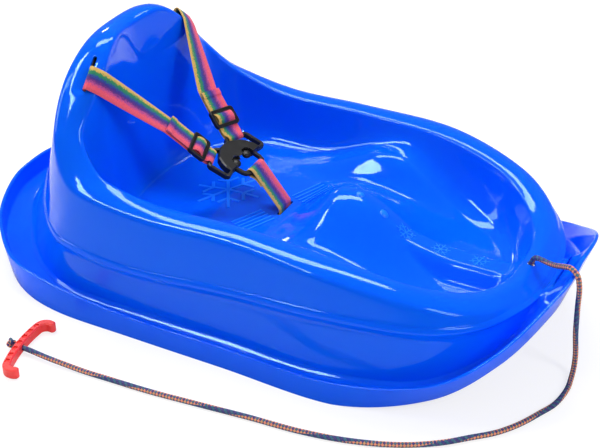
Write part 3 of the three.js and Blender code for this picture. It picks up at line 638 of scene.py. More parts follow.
@dataclass(frozen=True)
class Moulded(Finish):
    """Moulded plastic, from glossy to matte."""

    base: Row
    worn: Row
    roughness: float
    specular: float
    grain_depth: float
    wave_depth: float
    wear_and_highlight_reach: float
    wear_and_highlight: float
    gloss_tint: Row = WHITE
    translucent: float = 0.0
    scatter: Row = (0.05, 0.2, 1.0)
    scatter_scale: float = 0.012
    scuff: float = 0.06
    grain: float = 2200.0
    wave: float = 9.0

    def sockets(self, shader: Shader, effects: Effects) -> dict:
        """Scuffed colour, edges lightened partly for wear and partly as a painted highlight, fine grain and
        slow waves.

        Args:
            shader: the material's tree.
            effects: the shared node groups.

        Returns:
            What each socket of the Principled node takes.
        """
        grain = shader.group(effects.grain, {"Grain": self.grain, "Wave": self.wave})
        wear_and_highlight = shader.group(effects.wear_and_highlight, {"Reach": self.wear_and_highlight_reach, "Amount": self.wear_and_highlight})
        scuffed = shader.mix(shader.math("MULTIPLY", grain["Scuff"], self.scuff), self.base, self.worn)
        wave = shader.relief(grain["Wave Height"], self.wave_depth)
        return {
            # Edges take the lighter tone: partly wear, partly a painted highlight.
            "Base Color": shader.mix(wear_and_highlight["Mask"], scuffed, self.worn),
            "Roughness": shader.math("MULTIPLY_ADD", grain["Scuff"], self.scuff, self.roughness),
            "Normal": shader.relief(grain["Height"], self.grain_depth, Normal=wave),
            "Specular IOR Level": self.specular,
            "Specular Tint": self.gloss_tint,
            "Subsurface Weight": self.translucent,
            "Subsurface Radius": self.scatter,
            "Subsurface Scale": self.scatter_scale,
        }


def laid_threads(
    shader: Shader, effects: Effects, count: float, pitch: float
) -> tuple[Socket, Socket, bpy.types.NodeOutputs]:
    """A piece's lay across and along, and the threads that cross over it.

    Args:
        shader: the material's tree.
        effects: the shared node groups.
        count: threads across the piece.
        pitch: the length from one thread to the next along it.

    Returns:
        The two lay sockets and the thread group's outputs.
    """
    lay = shader.add("SeparateXYZ", {"Vector": shader.add("UVMap", uv_map="lay").outputs["UV"]}).outputs
    inputs = {"Across": lay["X"], "Along": lay["Y"], "Across Count": count, "Along Pitch": pitch}
    return lay["X"], lay["Y"], shader.group(effects.threads, inputs)


@dataclass(frozen=True)
class Woven(Finish):
    """Webbing woven in stripes that run along it."""

    stripes: tuple[tuple[float, Row], ...]
    width: float
    thread: float
    rib: float
    stray: float = 0.1
    # Painted shade and highlight of the weave, as factors on the stripe colour.
    shade: tuple[float, float] = (0.62, 1.12)
    depth: float = 0.0004
    strength: float = 0.8
    roughness: float = 0.82
    specular: float = 0.25
    sheen: float = 0.12

    def sockets(self, shader: Shader, effects: Effects) -> dict:
        """Stripes whose threads stray over their edges, with painted shade between the threads and a painted
        highlight on their crests.

        Args:
            shader: the material's tree.
            effects: the shared node groups.

        Returns:
            What each socket of the Principled node takes.
        """
        across, _, threads = laid_threads(shader, effects, self.width / self.thread, self.rib)
        fibre = shader.math("MULTIPLY_ADD", threads["Fibre"], self.stray / 3, -self.stray / 6)
        stray = shader.math("MULTIPLY_ADD", threads["Pick"], self.stray, fibre)
        placed = shader.math("SUBTRACT", shader.math("ADD", across, stray), self.stray / 2)
        # Painted shade between the threads and a painted highlight on their crests.
        shade = shader.remap(threads["Height"], low=0.1, high=1.0, to=self.shade)
        return {
            "Base Color": shader.shaded(shader.ramp(placed, self.stripes), shade),
            "Normal": shader.relief(threads["Height"], self.depth, Strength=self.strength),
            "Roughness": self.roughness,
            "Specular IOR Level": self.specular,
            "Sheen Weight": self.sheen,
        }


@dataclass(frozen=True)
class Braided(Finish):
    """A braided cord: strands of several colours that cross on both hands."""

    warm: tuple[Row, Row]
    cool: tuple[Row, Row]
    fuzz_tone: Row
    carriers: int
    pitch: float
    twist: float
    cool_share: float
    fuzz: float = 0.14
    # gap and shade set the painted shade in the grooves between strands.
    gap: float = 0.35
    fibres: float = 40.0
    fibre_pitch: float = 0.0011
    shade: tuple[float, float] = (0.62, 1.0)
    depth: float = 0.0003
    strength: float = 0.7
    roughness: float = 0.8
    specular: float = 0.25

    def sockets(self, shader: Shader, effects: Effects) -> dict:
        """Strands of both hands, over and under by turns, with painted shade where they meet.

        Args:
            shader: the material's tree.
            effects: the shared node groups.

        Returns:
            What each socket of the Principled node takes.
        """
        turn, along, threads = laid_threads(shader, effects, self.fibres, self.fibre_pitch)
        run = shader.math("DIVIDE", along, self.pitch)
        hands = [
            shader.math("MULTIPLY", shader.math(way, turn, run), self.carriers) for way in ("ADD", "SUBTRACT")
        ]
        turned = shader.math("FRACT", shader.math("ADD", turn, shader.math("DIVIDE", along, self.twist)))
        cool = shader.math("LESS_THAN", turned, self.cool_share)
        numbers = [shader.math("FLOOR", hand) for hand in hands]
        pairs = (self.warm, self.cool)
        tones = [self.strand(shader, number, cool, pair) for number, pair in zip(numbers, pairs)]
        over = shader.math("PINGPONG", shader.math("ADD", *numbers), 1.0)
        stray = shader.math("MULTIPLY", threads["Pick"], self.fuzz)
        fuzzed = shader.mix(stray, shader.mix(over, *tones), self.fuzz_tone)
        # Painted shade in the grooves where the strands meet.
        edges = [shader.math("PINGPONG", hand, 0.5) for hand in hands]
        gap = shader.math("MULTIPLY", shader.math("MINIMUM", *edges), 2.0)
        return {
            "Base Color": shader.shaded(fuzzed, shader.remap(gap, low=0.0, high=self.gap, to=self.shade)),
            "Normal": shader.relief(threads["Height"], self.depth, Strength=self.strength),
            "Roughness": self.roughness,
            "Specular IOR Level": self.specular,
        }

    def strand(self, shader: Shader, number: Socket, cool: Socket, pair: tuple[Row, Row]) -> Socket:
        """The tone of one hand's strands, from their numbers and from where the rope shows its cool side."""
        odd = shader.math("PINGPONG", number, 1.0)
        return shader.mix(cool, shader.mix(odd, *pair), shader.mix(odd, *self.cool))


@dataclass(frozen=True)
class PaleFloor(Finish):
    """A floor that looks pale to the camera, keeps shadows and bounces white light."""

    glow: float = 0.76
    seen: Row = (0.3, 0.3, 0.31)
    bounced: Row = (0.95, 0.95, 0.95)
    mirrored: Row = (0.7, 0.7, 0.71)
    roughness: float = 0.9
    specular: float = 0.1

    def sockets(self, shader: Shader, effects: Effects) -> dict:
        """One tone for the camera, one for bounced light and one for reflections.

        Args:
            shader: the material's tree.
            effects: the shared node groups; not used.

        Returns:
            What each socket of the Principled node takes.
        """
        path = shader.add("LightPath").outputs
        bounced = shader.mix(path["Is Glossy Ray"], self.bounced, self.mirrored)
        return {
            "Base Color": shader.mix(path["Is Camera Ray"], bounced, self.seen),
            "Emission Strength": shader.math("MULTIPLY", path["Is Camera Ray"], self.glow),
            "Emission Color": WHITE,
            "Roughness": self.roughness,
            "Specular IOR Level": self.specular,
        }


@dataclass
class Wardrobe:
    """Every finish of the sled and its floor, each made once."""

    effects: Effects

    def __post_init__(self) -> None:
        """Builds the materials."""
        self.blue = Moulded(
            "glossy_blue", base=(0.001, 0.11, 0.97), worn=(0.004, 0.2, 1.0), roughness=0.06,
            specular=0.4, grain_depth=0.000003, wave_depth=0.0004, wear_and_highlight_reach=0.0012, wear_and_highlight=0.35,
            gloss_tint=(0.4, 0.75, 1.0), translucent=0.35,
        ).material(self.effects)
        self.frosted = Moulded(
            "frosted_blue", base=(0.003, 0.19, 1.0), worn=(0.01, 0.25, 1.0), roughness=0.3,
            specular=0.3, grain_depth=0.00002, wave_depth=0.0, wear_and_highlight_reach=0.0008, wear_and_highlight=0.4,
        ).material(self.effects)
        # The buckle's lighter edges are partly wear and partly a painted highlight on its bevels.
        self.black = Moulded(
            "buckle_black", base=colour(26, 26, 28), worn=colour(120, 122, 120), roughness=0.32,
            specular=0.22, grain_depth=0.00001, wave_depth=0.0, wear_and_highlight_reach=0.0005, wear_and_highlight=0.8,
        ).material(self.effects)
        self.red = Moulded(
            "handle_red", base=colour(240, 58, 56), worn=colour(252, 120, 110), roughness=0.36,
            specular=0.4, grain_depth=0.00001, wave_depth=0.0, wear_and_highlight_reach=0.0007, wear_and_highlight=0.5,
        ).material(self.effects)
        self.webbing = Woven(
            "striped_webbing",
            stripes=(
                (0.0, colour(228, 186, 104)), (0.13, colour(222, 178, 88)), (0.17, colour(54, 152, 92)),
                (0.30, colour(30, 128, 98)), (0.35, colour(30, 84, 160)), (0.44, colour(52, 44, 146)),
                (0.55, colour(96, 40, 128)), (0.66, colour(196, 78, 150)), (0.76, colour(244, 84, 112)),
                (1.0, colour(250, 104, 122)),
            ),
            width=WEBBING_WIDTH, thread=0.0011, rib=0.0016,
        ).material(self.effects)
        self.rope = Braided(
            "braided_cord",
            warm=(colour(246, 150, 116), colour(222, 160, 112)),
            cool=(colour(20, 104, 134), colour(44, 52, 128)), fuzz_tone=colour(225, 170, 150),
            carriers=4, pitch=0.0155, twist=0.13, cool_share=0.36,
        ).material(self.effects)
        self.pale = PaleFloor("pale_floor").material(self.effects)


def dress(piece: Piece, finish: Material) -> Piece:
    """Gives a piece its material in a single slot.

    Args:
        piece: the object.
        finish: its material.

    Returns:
        The piece.
    """
    piece.data.materials.clear()
    piece.data.materials.append(finish)
    return piece


# The shell

HALF_OUTLINES: dict[str, tuple[Row, ...]] = {
    "floor_edge": (
        (-0.236, 0, 0.28), (-0.231, 0.235, 0.28), (-0.213, 0.432, 0.28), (-0.187, 0.535, 0.28),
        (-0.155, 0.573, 0.28), (-0.116, 0.592, 0.28), (-0.058, 0.606, 0.28), (0.043, 0.61, 0.28),
        (0.162, 0.601, 0.28), (0.266, 0.507, 0.26), (0.333, 0.357, 0.25), (0.367, 0.188, 0.25),
        (0.376, 0, 0.25),
    ),
    "rim_inner": (
        (-0.266, 0, 1), (-0.254, 0.254, 1), (-0.243, 0.462, 0.887), (-0.246, 0.657, 0.738),
        (-0.209, 0.742, 0.618), (-0.164, 0.751, 0.567), (-0.091, 0.732, 0.533), (0.043, 0.723, 0.537),
        (0.188, 0.728, 0.517), (0.305, 0.648, 0.457), (0.372, 0.46, 0.397), (0.402, 0.235, 0.37),
        (0.409, 0, 0.363),
    ),
    "rim_outer": (
        (-0.302, 0, 1.003), (-0.302, 0.289, 0.978), (-0.298, 0.54, 0.876), (-0.283, 0.736, 0.722),
        (-0.25, 0.85, 0.593), (-0.2, 0.892, 0.543), (-0.091, 0.878, 0.513), (0.043, 0.869, 0.523),
        (0.199, 0.892, 0.503), (0.333, 0.779, 0.433), (0.406, 0.554, 0.373), (0.431, 0.291, 0.35),
        (0.439, 0, 0.343),
    ),
    "belt": (
        (-0.43, 0, 0.307), (-0.409, 0.235, 0.307), (-0.378, 0.432, 0.307), (-0.34, 0.634, 0.307),
        (-0.297, 0.798, 0.303), (-0.245, 0.901, 0.297), (-0.122, 0.939, 0.287), (0.043, 0.939, 0.327),
        (0.201, 0.939, 0.353), (0.333, 0.826, 0.343), (0.406, 0.61, 0.327), (0.447, 0.31, 0.327),
        (0.457, 0, 0.327),
    ),
    "foot": (
        (-0.46, 0, 0.12), (-0.443, 0.235, 0.117), (-0.408, 0.441, 0.107), (-0.362, 0.657, 0.093),
        (-0.31, 0.808, 0.087), (-0.245, 0.897, 0.083), (-0.122, 0.915, 0.083), (0.043, 0.92, 0.083),
        (0.201, 0.925, 0.087), (0.333, 0.826, 0.11), (0.415, 0.61, 0.187), (0.46, 0.31, 0.28),
        (0.474, 0, 0.3),
    ),
    "tray_edge": (
        (-0.488, 0, 0.127), (-0.483, 0.225, 0.123), (-0.453, 0.493, 0.113), (-0.412, 0.695, 0.097),
        (-0.355, 0.854, 0.087), (-0.265, 0.958, 0.083), (-0.122, 0.977, 0.083), (0.043, 0.977, 0.083),
        (0.214, 0.981, 0.087), (0.35, 0.88, 0.113), (0.425, 0.66, 0.195), (0.478, 0.291, 0.297),
        (0.486, 0, 0.313),
    ),
    "lip_top": (
        (-0.5, 0, 0.2), (-0.495, 0.225, 0.193), (-0.464, 0.507, 0.177), (-0.422, 0.714, 0.16),
        (-0.353, 0.92, 0.15), (-0.265, 0.981, 0.123), (-0.122, 1, 0.097), (0.043, 1, 0.097),
        (0.221, 1, 0.097), (0.364, 0.91, 0.168), (0.442, 0.685, 0.275), (0.496, 0.31, 0.427),
        (0.5, 0, 0.443),
    ),
    "base": (
        (-0.487, 0, 0.047), (-0.482, 0.225, 0.04), (-0.455, 0.488, 0.02), (-0.415, 0.695, 0.003),
        (-0.345, 0.897, 0), (-0.258, 0.991, 0), (-0.122, 1, 0), (0.043, 1, 0),
        (0.227, 1, 0), (0.36, 0.822, 0.057), (0.438, 0.592, 0.18), (0.477, 0.263, 0.273),
        (0.482, 0, 0.287),
    ),
}


@dataclass(frozen=True)
class SeatFloor:
    """The height of the seat, the pommel, the ridge, the knee rolls and the footwell."""

    level: float = 0.074
    rise: float = 0.018
    dish: float = 0.010
    footwell: float = 0.070
    pommel: float = 0.050
    ridge: float = 0.022
    knee: float = 0.034
    spine_rear: float = -0.31
    spine_front: float = 0.59

    def height(self, x: Array, y: Array) -> Array:
        """The floor's height at places given in metres.

        Args:
            x: how far forward each place lies.
            y: how far to the left.

        Returns:
            The heights.
        """
        ahead, side = x / (LENGTH / 2), y / (WIDTH / 2)
        back = ease(-ahead, 0.28, 0.46) * self.dish
        front = ease(ahead, -0.52, -0.16) * self.rise
        sunk = ease(ahead, 0.25, 0.62) * (self.level + self.rise - self.footwell)
        along = ease(ahead, 0.04, 0.22) * (1 - ease(ahead, 0.24, 0.62))
        pommel = along * self.pommel * bump(side, 0.20)
        ridge = ease(ahead, 0.10, 0.30) * self.ridge * (1 - ease(np.abs(side), 0.05, 0.16))
        knee = self.knee * bump(ahead - 0.24, 0.13) * ease(np.abs(side), 0.36, 0.58)
        return self.level + back + front + side**2 * self.dish - sunk + np.maximum(ridge, pommel) + knee

    def normal(self, x: Array, y: Array) -> Array:
        """The floor's upward normals.

        Args:
            x: how far forward each place lies.
            y: how far to the left.

        Returns:
            The normals, of length one.
        """
        step = WALL
        slope_x = (self.height(x + step, y) - self.height(x - step, y)) / (2 * step)
        slope_y = (self.height(x, y + step) - self.height(x, y - step)) / (2 * step)
        return unit(np.stack([-slope_x, -slope_y, np.ones_like(slope_x)], axis=-1))

    def rings(self, edge: Array, shares: Sequence[float]) -> list[Array]:
        """Rings on the floor from its middle line to its edge.

        Args:
            edge: the ring round the floor.
            shares: how far out each ring lies.

        Returns:
            The rings.
        """
        rear, front = edge[0, 0], edge[len(edge) // 2, 0]
        ends = [self.spine_rear * LENGTH / 2, self.spine_front * LENGTH / 2]
        spine = np.interp(edge[:, 0], [rear, front], ends)
        made = []
        for share in shares:
            x = spine + (edge[:, 0] - spine) * share
            y = edge[:, 1] * share
            made.append(np.column_stack([x, y, self.height(x, y)]))
        return made


@dataclass(frozen=True)
class Corner:
    """A ring that the profile turns at, with the reach of its rounding."""

    ring: Array
    reach: float
    steps: int = 4


def rounded_profile(corners: Sequence[Corner]) -> list[Array]:
    """Rings along a profile whose corners are rounded.

    Args:
        corners: the profile's corners in order; the first and last stay sharp.

    Returns:
        The rings.
    """
    rings = [corners[0].ring]
    for before, corner, after in zip(corners, corners[1:], corners[2:]):
        back, on = before.ring - corner.ring, after.ring - corner.ring
        back_long = np.linalg.norm(back, axis=1, keepdims=True)
        on_long = np.linalg.norm(on, axis=1, keepdims=True)
        start = corner.ring + back / back_long * np.minimum(corner.reach, back_long / 2)
        end = corner.ring + on / on_long * np.minimum(corner.reach, on_long / 2)
        for part in np.linspace(0, 1, corner.steps + 1):
            rings.append((1 - part) ** 2 * start + 2 * part * (1 - part) * corner.ring + part**2 * end)
    rings.append(corners[-1].ring)
    return rings


@dataclass(frozen=True)
class RimFrame:
    """A place on the rim band with its directions, and the rim's inner edge there."""

    origin: Array
    normal: Array
    along: Array
    forward: Array
    edge: Array

    @property
    def axes(self) -> tuple[Array, Array, Array]:
        """The directions along the rim, across it and square to both."""
        return self.along, self.forward, np.cross(self.along, self.forward)


@dataclass
class SledShell:
    """The one-piece shell with its pads, slots and rope hole."""

    floor: SeatFloor = SeatFloor()
    crown: float = 0.004
    belt_step: float = 0.007
    ledge_rise: float = 0.0075
    ledge_out: float = 0.0017
    ledge_drop: float = 0.0011
    band_out: float = 0.0022
    under_belt_share: float = 0.14
    fairing_foot: float = 0.55
    fairing_tray: float = 0.75
    stations: int = 18
    lip_wall: float = 0.0045
    foot_up: float = 0.0042
    foot_out: float = 0.006
    skirt_edge: float = 0.009
    slot_length: float = 0.046
    slot_width: float = 0.0054
    crotch_slot_length: float = 0.038
    rope_hole: float = 0.0048
    pad_length: float = 0.058
    pad_width: float = 0.021
    pad_depth: float = 0.0028
    pad_reach: float = 0.0112
    pad_edge: float = 0.003
    pad_forward: float = -0.001
    slot_station: int = 6
    slot_share: float = 0.72
    rope_hole_share: float = 0.78
    slot_lead: float = 0.007
    strap_shift: float = 0.004
    strap_lift: float = 0.0005
    edge_shift: float = -0.001
    packed_stations: int = 3
    cut_depth: float = 0.024
    floor_rings: int = 26
    hidden_rings: int = 12
    floor_share: float = 0.93
    wall_shares: tuple[tuple[float, float], ...] = ((0.40, 0.10), (0.72, 0.45), (0.93, 0.88))
    fairing_sides: tuple[float, float] = (0.12, 0.26)
    full_round: float = 1.0
    floor_round: float = 0.016
    rim_round: float = 0.006
    wall_round: float = 0.012
    ledge_root: float = 0.0008
    ledge_round: float = 0.0012
    band_round: float = 0.0026
    belt_round: float = 0.007
    foot_round: float = 0.0015
    tray_round: float = 0.003
    lip_round: float = 0.002
    hidden_round: float = 0.006
    crease: float = math.radians(38)
    crotch_slot_x: float = 0.0065 * LENGTH

    def rings(self, per_row: int) -> dict[str, Array]:
        """The shell's named rings at a number of stations per row.

        Args:
            per_row: stations for each row of the outlines.

        Returns:
            The rings by name.
        """
        made = {name: closed_outline(rows, per_row) for name, rows in HALF_OUTLINES.items()}
        edge = made["floor_edge"]
        made["floor_edge"] = self.floor.rings(edge, [1.0])[0]
        middle = mix_rings(made["rim_inner"], made["rim_outer"], 0.5)
        made["crest"] = middle + skin_normals(made["rim_inner"], made["rim_outer"]) * self.crown
        made["foot"] = self.faired(made["foot"], made["lip_top"], self.fairing_foot)
        made["tray_edge"] = self.faired(made["tray_edge"], made["lip_top"], self.fairing_tray)
        below = mix_rings(made["belt"], made["foot"], self.under_belt_share)
        made["under_belt"] = below - outward(made["belt"]) * self.belt_step / 2
        return made

    def faired(self, ring: Array, lip: Array, share: float) -> Array:
        """A ring of the tray, raised towards the lip in front of the rope hole.

        Args:
            ring: the ring's points.
            lip: the lip's ring.
            share: how far it is raised.

        Returns:
            The raised ring.
        """
        fill = np.where(ring[:, 0] > 0, 1 - ease(np.abs(ring[:, 1]) / (WIDTH / 2), *self.fairing_sides), 0)
        raised = ring.copy()
        raised[:, 2] += share * fill * (lip[:, 2] - ring[:, 2])
        return raised

    def wall_rings(self, made: dict[str, Array]) -> list[Array]:
        """The rings up the inner wall."""
        return [mix_rings(made["floor_edge"], made["rim_inner"], *shares) for shares in self.wall_shares]

    def belt_ledge(self, made: dict[str, Array]) -> tuple[Array, Array, Array]:
        """The rings of the raised band at the belt: on the wall, on its ledge and at its lower edge.

        Args:
            made: the shell's rings.

        Returns:
            The three rings.
        """
        up = unit(made["rim_outer"] - made["belt"])
        out = outward(made["belt"])
        start = made["belt"] + up * self.ledge_rise
        ledge = start + out * self.ledge_out - vec(0, 0, self.ledge_drop)
        return start, ledge, made["belt"] + out * self.band_out

    def outer_corners(self, made: dict[str, Array]) -> list[Corner]:
        """The profile of the outer skin, from near the floor's edge to the bottom edge.

        Args:
            made: the shell's rings.

        Returns:
            The profile's corners in order.
        """
        start, ledge, band = self.belt_ledge(made)
        foot = made["foot"]
        lip_inner = made["lip_top"] - outward(made["lip_top"]) * self.lip_wall
        return [
            Corner(made["floor_edge"], self.floor_round, 5),
            *[Corner(ring, self.full_round, 5) for ring in self.wall_rings(made)],
            Corner(made["rim_inner"], self.rim_round, 5),
            Corner(made["crest"], self.full_round, 6),
            Corner(made["rim_outer"], self.rim_round, 6),
            Corner(mix_rings(made["rim_outer"], made["belt"], 0.5), self.wall_round, 4),
            Corner(start, self.ledge_root, 3),
            Corner(ledge, self.ledge_round, 3),
            Corner(band, self.band_round, 5),
            Corner(made["under_belt"], self.belt_round, 4),
            Corner(foot + unit(made["under_belt"] - foot) * self.foot_up, self.foot_round, 3),
            Corner(foot + unit(made["tray_edge"] - foot) * self.foot_out, self.foot_round, 3),
            Corner(made["tray_edge"], self.tray_round, 4),
            Corner(lip_inner, self.lip_round, 5),
            Corner(made["lip_top"], self.lip_round, 5),
            Corner(made["base"], 0.0, 1),
        ]

    def inner_corners(self, made: dict[str, Array]) -> list[Corner]:
        """The profile of the hidden skin, from the bottom edge back to the floor's edge.

        Args:
            made: the shell's rings.

        Returns:
            The profile's corners in order.
        """
        walls = [
            *self.wall_rings(made), made["rim_inner"], made["crest"], made["rim_outer"],
            mix_rings(made["rim_outer"], made["belt"], 0.55), made["belt"], made["under_belt"],
        ]
        sheet = [made["floor_edge"], *walls, made["foot"]]
        hidden = [
            ring - skin_normals(sheet[index], sheet[index + 2]) * WALL for index, ring in enumerate(walls)
        ]
        foot = made["foot"] - outward(made["foot"]) * WALL - vec(0, 0, WALL)
        base = made["base"] - outward(made["base"]) * self.skirt_edge
        tray = np.column_stack([base[:, :2], made["tray_edge"][:, 2] - WALL])
        return [Corner(ring, self.hidden_round, 2) for ring in (base, tray, foot, *reversed(hidden))]

    def build(self) -> Piece:
        """Builds the shell's smooth mesh and cuts its slots and hole.

        Returns:
            The shell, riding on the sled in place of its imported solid.
        """
        made = self.rings(self.stations)
        edge = closed_outline(HALF_OUTLINES["floor_edge"], self.stations)
        top = self.floor.rings(edge, np.linspace(0, self.floor_share, self.floor_rings))
        under = [
            ring - self.floor.normal(ring[:, 0], ring[:, 1]) * WALL
            for ring in self.floor.rings(edge, np.linspace(1, 0, self.hidden_rings))
        ]
        outer = rounded_profile([Corner(top[-1], 0), *self.outer_corners(made)])
        inner = rounded_profile([*self.inner_corners(made), Corner(under[0], 0)])
        outer = [self.with_pads(ring, 0) for ring in outer]
        inner = [self.with_pads(ring, WALL) for ring in inner]
        rings = [*top[:-1], *outer, *inner, *under[1:]]
        shell = mesh_object("shell_moulding", np.vstack(rings), ring_faces(len(rings), len(edge)))
        weld(shell)
        cut_with(shell, self.cutters())
        shell.data.shade_smooth()
        shell.data.set_sharp_from_angle(angle=self.crease)
        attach(shell, "sled")
        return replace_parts(shell, "sled_shell")

    def with_pads(self, ring: Array, under: float) -> Array:
        """A ring of the skin with a flat pad pressed in round each shoulder slot.

        Args:
            ring: the ring's points.
            under: how far the ring's skin lies under the outer one.

        Returns:
            The ring, moved where it crosses a pad.
        """
        moved = ring.copy()
        for side in Side:
            place = self.frame_at(side)
            offset = ring - self.slot_middle(side)
            above = offset @ place.normal + under + self.pad_depth
            along = np.abs(offset @ place.along) / (self.pad_length / 2)
            forward = np.abs(offset @ place.forward - self.pad_forward) / (self.pad_width / 2)
            mask = 1 - ease(np.maximum(along, forward), 1 - 2 * self.pad_edge / self.pad_width, 1)
            near = np.abs(above) < self.pad_reach
            moved -= place.normal * (mask * near * np.maximum(above, 0))[:, None]
        return moved

    def frame_at(self, side: Side | None) -> RimFrame:
        """The frame of a shoulder strap, or of the rope hole.

        Args:
            side: which shoulder strap, or None for the rope hole.

        Returns:
            The place and its directions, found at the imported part's own stations.
        """
        made = self.rings(self.packed_stations)
        count = len(made["crest"])
        share = self.rope_hole_share if side is None else self.slot_share
        sign = 0 if side is None else side.value
        station = (count // 2, self.slot_station, count - self.slot_station)[sign]
        normal = skin_normals(made["rim_inner"], made["rim_outer"])[station]
        along = unit(tangents(made["crest"])[station])
        inner, crest = made["rim_inner"][station], made["crest"][station]
        origin = inner + (crest - inner) * share - along * sign * self.strap_shift
        wall = self.wall_rings(made)[-1]
        inward = skin_normals(wall, made["rim_inner"])[station]
        lift = unit(inward + normal) * (self.strap_lift + WEBBING_THICK / 2)
        edge = inner + lift - along * sign * self.edge_shift
        return RimFrame(origin, normal, along, np.cross(along, normal), edge)

    def crotch_frame(self) -> RimFrame:
        """The frame of the crotch strap's slot.

        Returns:
            The place and its directions.
        """
        x, y = np.array(self.crotch_slot_x), np.array(0.0)
        origin = vec(float(x), 0, float(self.floor.height(x, y)))
        normal = self.floor.normal(x, y)
        along = vec(0, 1, 0)
        return RimFrame(origin, normal, along, np.cross(along, normal), origin)

    def slot_middle(self, side: Side) -> Array:
        """The middle of a shoulder slot, a little further up the rim than its strap."""
        place = self.frame_at(side)
        return place.origin - place.along * side.value * self.slot_lead

    def cutters(self) -> list[Piece]:
        """The bodies that cut the slots and the rope hole.

        Returns:
            The cutting bodies.
        """
        shoulder = slot_outline(self.slot_length, self.slot_width)
        cuts = [("slot_cut", shoulder, self.frame_at(side), self.slot_middle(side)) for side in Side]
        crotch, hole = self.crotch_frame(), self.frame_at(None)
        narrow = slot_outline(self.crotch_slot_length, self.slot_width)
        circle = heading(np.linspace(0, 2 * math.pi, 32, endpoint=False)) * self.rope_hole
        cuts += [("slot_cut", narrow, crotch, crotch.origin), ("hole_cut", circle, hole, hole.origin)]
        return [prism(name, outline, at.axes, middle, self.cut_depth) for name, outline, at, middle in cuts]


@dataclass
class FloorRelief:
    """Raised snow crystals and bosses on the seat and the ridge."""

    floor: SeatFloor
    step: float = 0.003
    branch_place: float = 0.5
    branch_reach: float = 0.36
    boss_sink: float = 0.0006
    rib_places: tuple[float, ...] = (-0.013, -0.0065, 0.0, 0.0065, 0.013)
    rib_middle: float = 0.003
    rib_lean: float = 0.4
    rib_start: float = 0.025
    rib_end: float = 0.072
    rib_width: float = 0.0026
    rib_rise: float = 0.001
    crease: float = math.radians(50)

    def bar(self, start: Array, end: Array, width: float, rise: float) -> tuple[Array, list]:
        """A raised bar laid over the floor between two places.

        Args:
            start: where it starts, in plan.
            end: where it ends, in plan.
            width: its width.
            rise: how far it stands out.

        Returns:
            Its points and its faces.
        """
        count = max(3, int(np.linalg.norm(end - start) / self.step) + 1)
        line = start + np.outer(np.linspace(0, 1, count), end - start)
        side = unit(np.array([-(end - start)[1], (end - start)[0]]))
        section = ((-0.5, -STRIP_SINK), (-0.34, rise), (0.34, rise), (0.5, -STRIP_SINK))
        rows = []
        for across, lift in section:
            place = line + side * across * width
            rows.append(np.column_stack([place, self.floor.height(place[:, 0], place[:, 1]) + lift]))
        points = np.stack(rows, axis=1).reshape(-1, 3)
        faces = [list(face) for face in ring_faces(count, len(section))]
        faces += [[0, 1, 2, 3][::-1], [4 * (count - 1) + k for k in range(4)]]
        return points, faces

    def bars(self, name: str, lines: Sequence[Sequence[Array]], width: float, rise: float) -> Piece:
        """One piece of raised bars, each along a line in plan.

        Args:
            name: the object's name.
            lines: each bar's start and end.
            width: the width of a bar.
            rise: how far it stands out.

        Returns:
            The piece.
        """
        points, faces, count = [], [], 0
        for start, end in lines:
            bar_points, bar_faces = self.bar(start, end, width, rise)
            points.append(bar_points)
            faces += [[corner + count for corner in face] for face in bar_faces]
            count += len(bar_points)
        made = mesh_object(name, np.vstack(points), faces)
        made.data.set_sharp_from_angle(angle=self.crease)
        return made

    def crystal(
        self, name: str, middle: tuple[float, float], reach: float, width: float, rise: float, turn: float
    ) -> Piece:
        """A six-armed crystal with a pair of branches on each arm.

        Args:
            name: the object's name.
            middle: its middle in plan.
            reach: the length of an arm.
            width: the width of a bar.
            rise: how far it stands out.
            turn: the angle of its first arm.

        Returns:
            The crystal.
        """
        centre, lines = np.array(middle), []
        for arm in range(6):
            angle = turn + arm * math.pi / 3
            ray = heading(angle)
            lines.append((centre, centre + ray * reach))
            root = centre + ray * reach * self.branch_place
            for lean in (angle - math.pi / 3, angle + math.pi / 3):
                tip = root + heading(lean) * reach * self.branch_reach
                lines.append((root, tip))
        return self.bars(name, lines, width, rise)

    def slot_ribs(self) -> Piece:
        """The raised ribs on both sides of the crotch slot.

        Returns:
            The ribs, in one piece.
        """
        run = heading(self.rib_lean)[::-1]
        across = np.array([run[1], -run[0]])
        lines = []
        for offset in self.rib_places:
            for hand in (-1, 1):
                root = np.array([self.rib_middle, 0]) + across * offset
                lines.append([root + run * hand * reach for reach in (self.rib_start, self.rib_end)])
        return self.bars("slot_ribs", lines, self.rib_width, self.rib_rise)

    def boss(self, name: str, middle: tuple[float, float], radius: float, rise: float) -> Piece:
        """A low round boss on the floor.

        Args:
            name: the object's name.
            middle: its middle in plan.
            radius: its radius.
            rise: its height.

        Returns:
            The boss.
        """
        turn = np.linspace(0, 2 * math.pi, 24, endpoint=False)
        rings = []
        for share in np.linspace(0, 1, 7):
            ring = np.array(middle) + heading(turn) * radius * share
            top = rise * math.sqrt(max(0.0, 1 - share**3)) - self.boss_sink * share
            rings.append(np.column_stack([ring, self.floor.height(ring[:, 0], ring[:, 1]) + top]))
        made = mesh_object(name, np.vstack(rings), [list(face)[::-1] for face in ring_faces(7, 24)])
        weld(made, 1e-5)
        return made

    def build(self) -> list[Piece]:
        """All reliefs, riding on the sled.

        Returns:
            The pieces.
        """
        made = [
            self.crystal("seat_crystal", (-0.080, 0.006), 0.044, 0.0052, 0.0009, 0.0),
            *[
                self.crystal(f"ridge_crystal_{index}", place, 0.012, 0.0016, 0.0005, math.radians(20))
                for index, place in enumerate(((0.169, 0.0), (0.214, 0.0), (0.263, 0.0)), 1)
            ],
            *[
                self.boss(f"ridge_boss_{index}", place, 0.0055, 0.0026)
                for index, place in enumerate(((0.1075, 0.0), (0.141, -0.003)), 1)
            ],
            self.slot_ribs(),
        ]
        for piece in made:
            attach(piece, "sled")
        return made


# Webbing


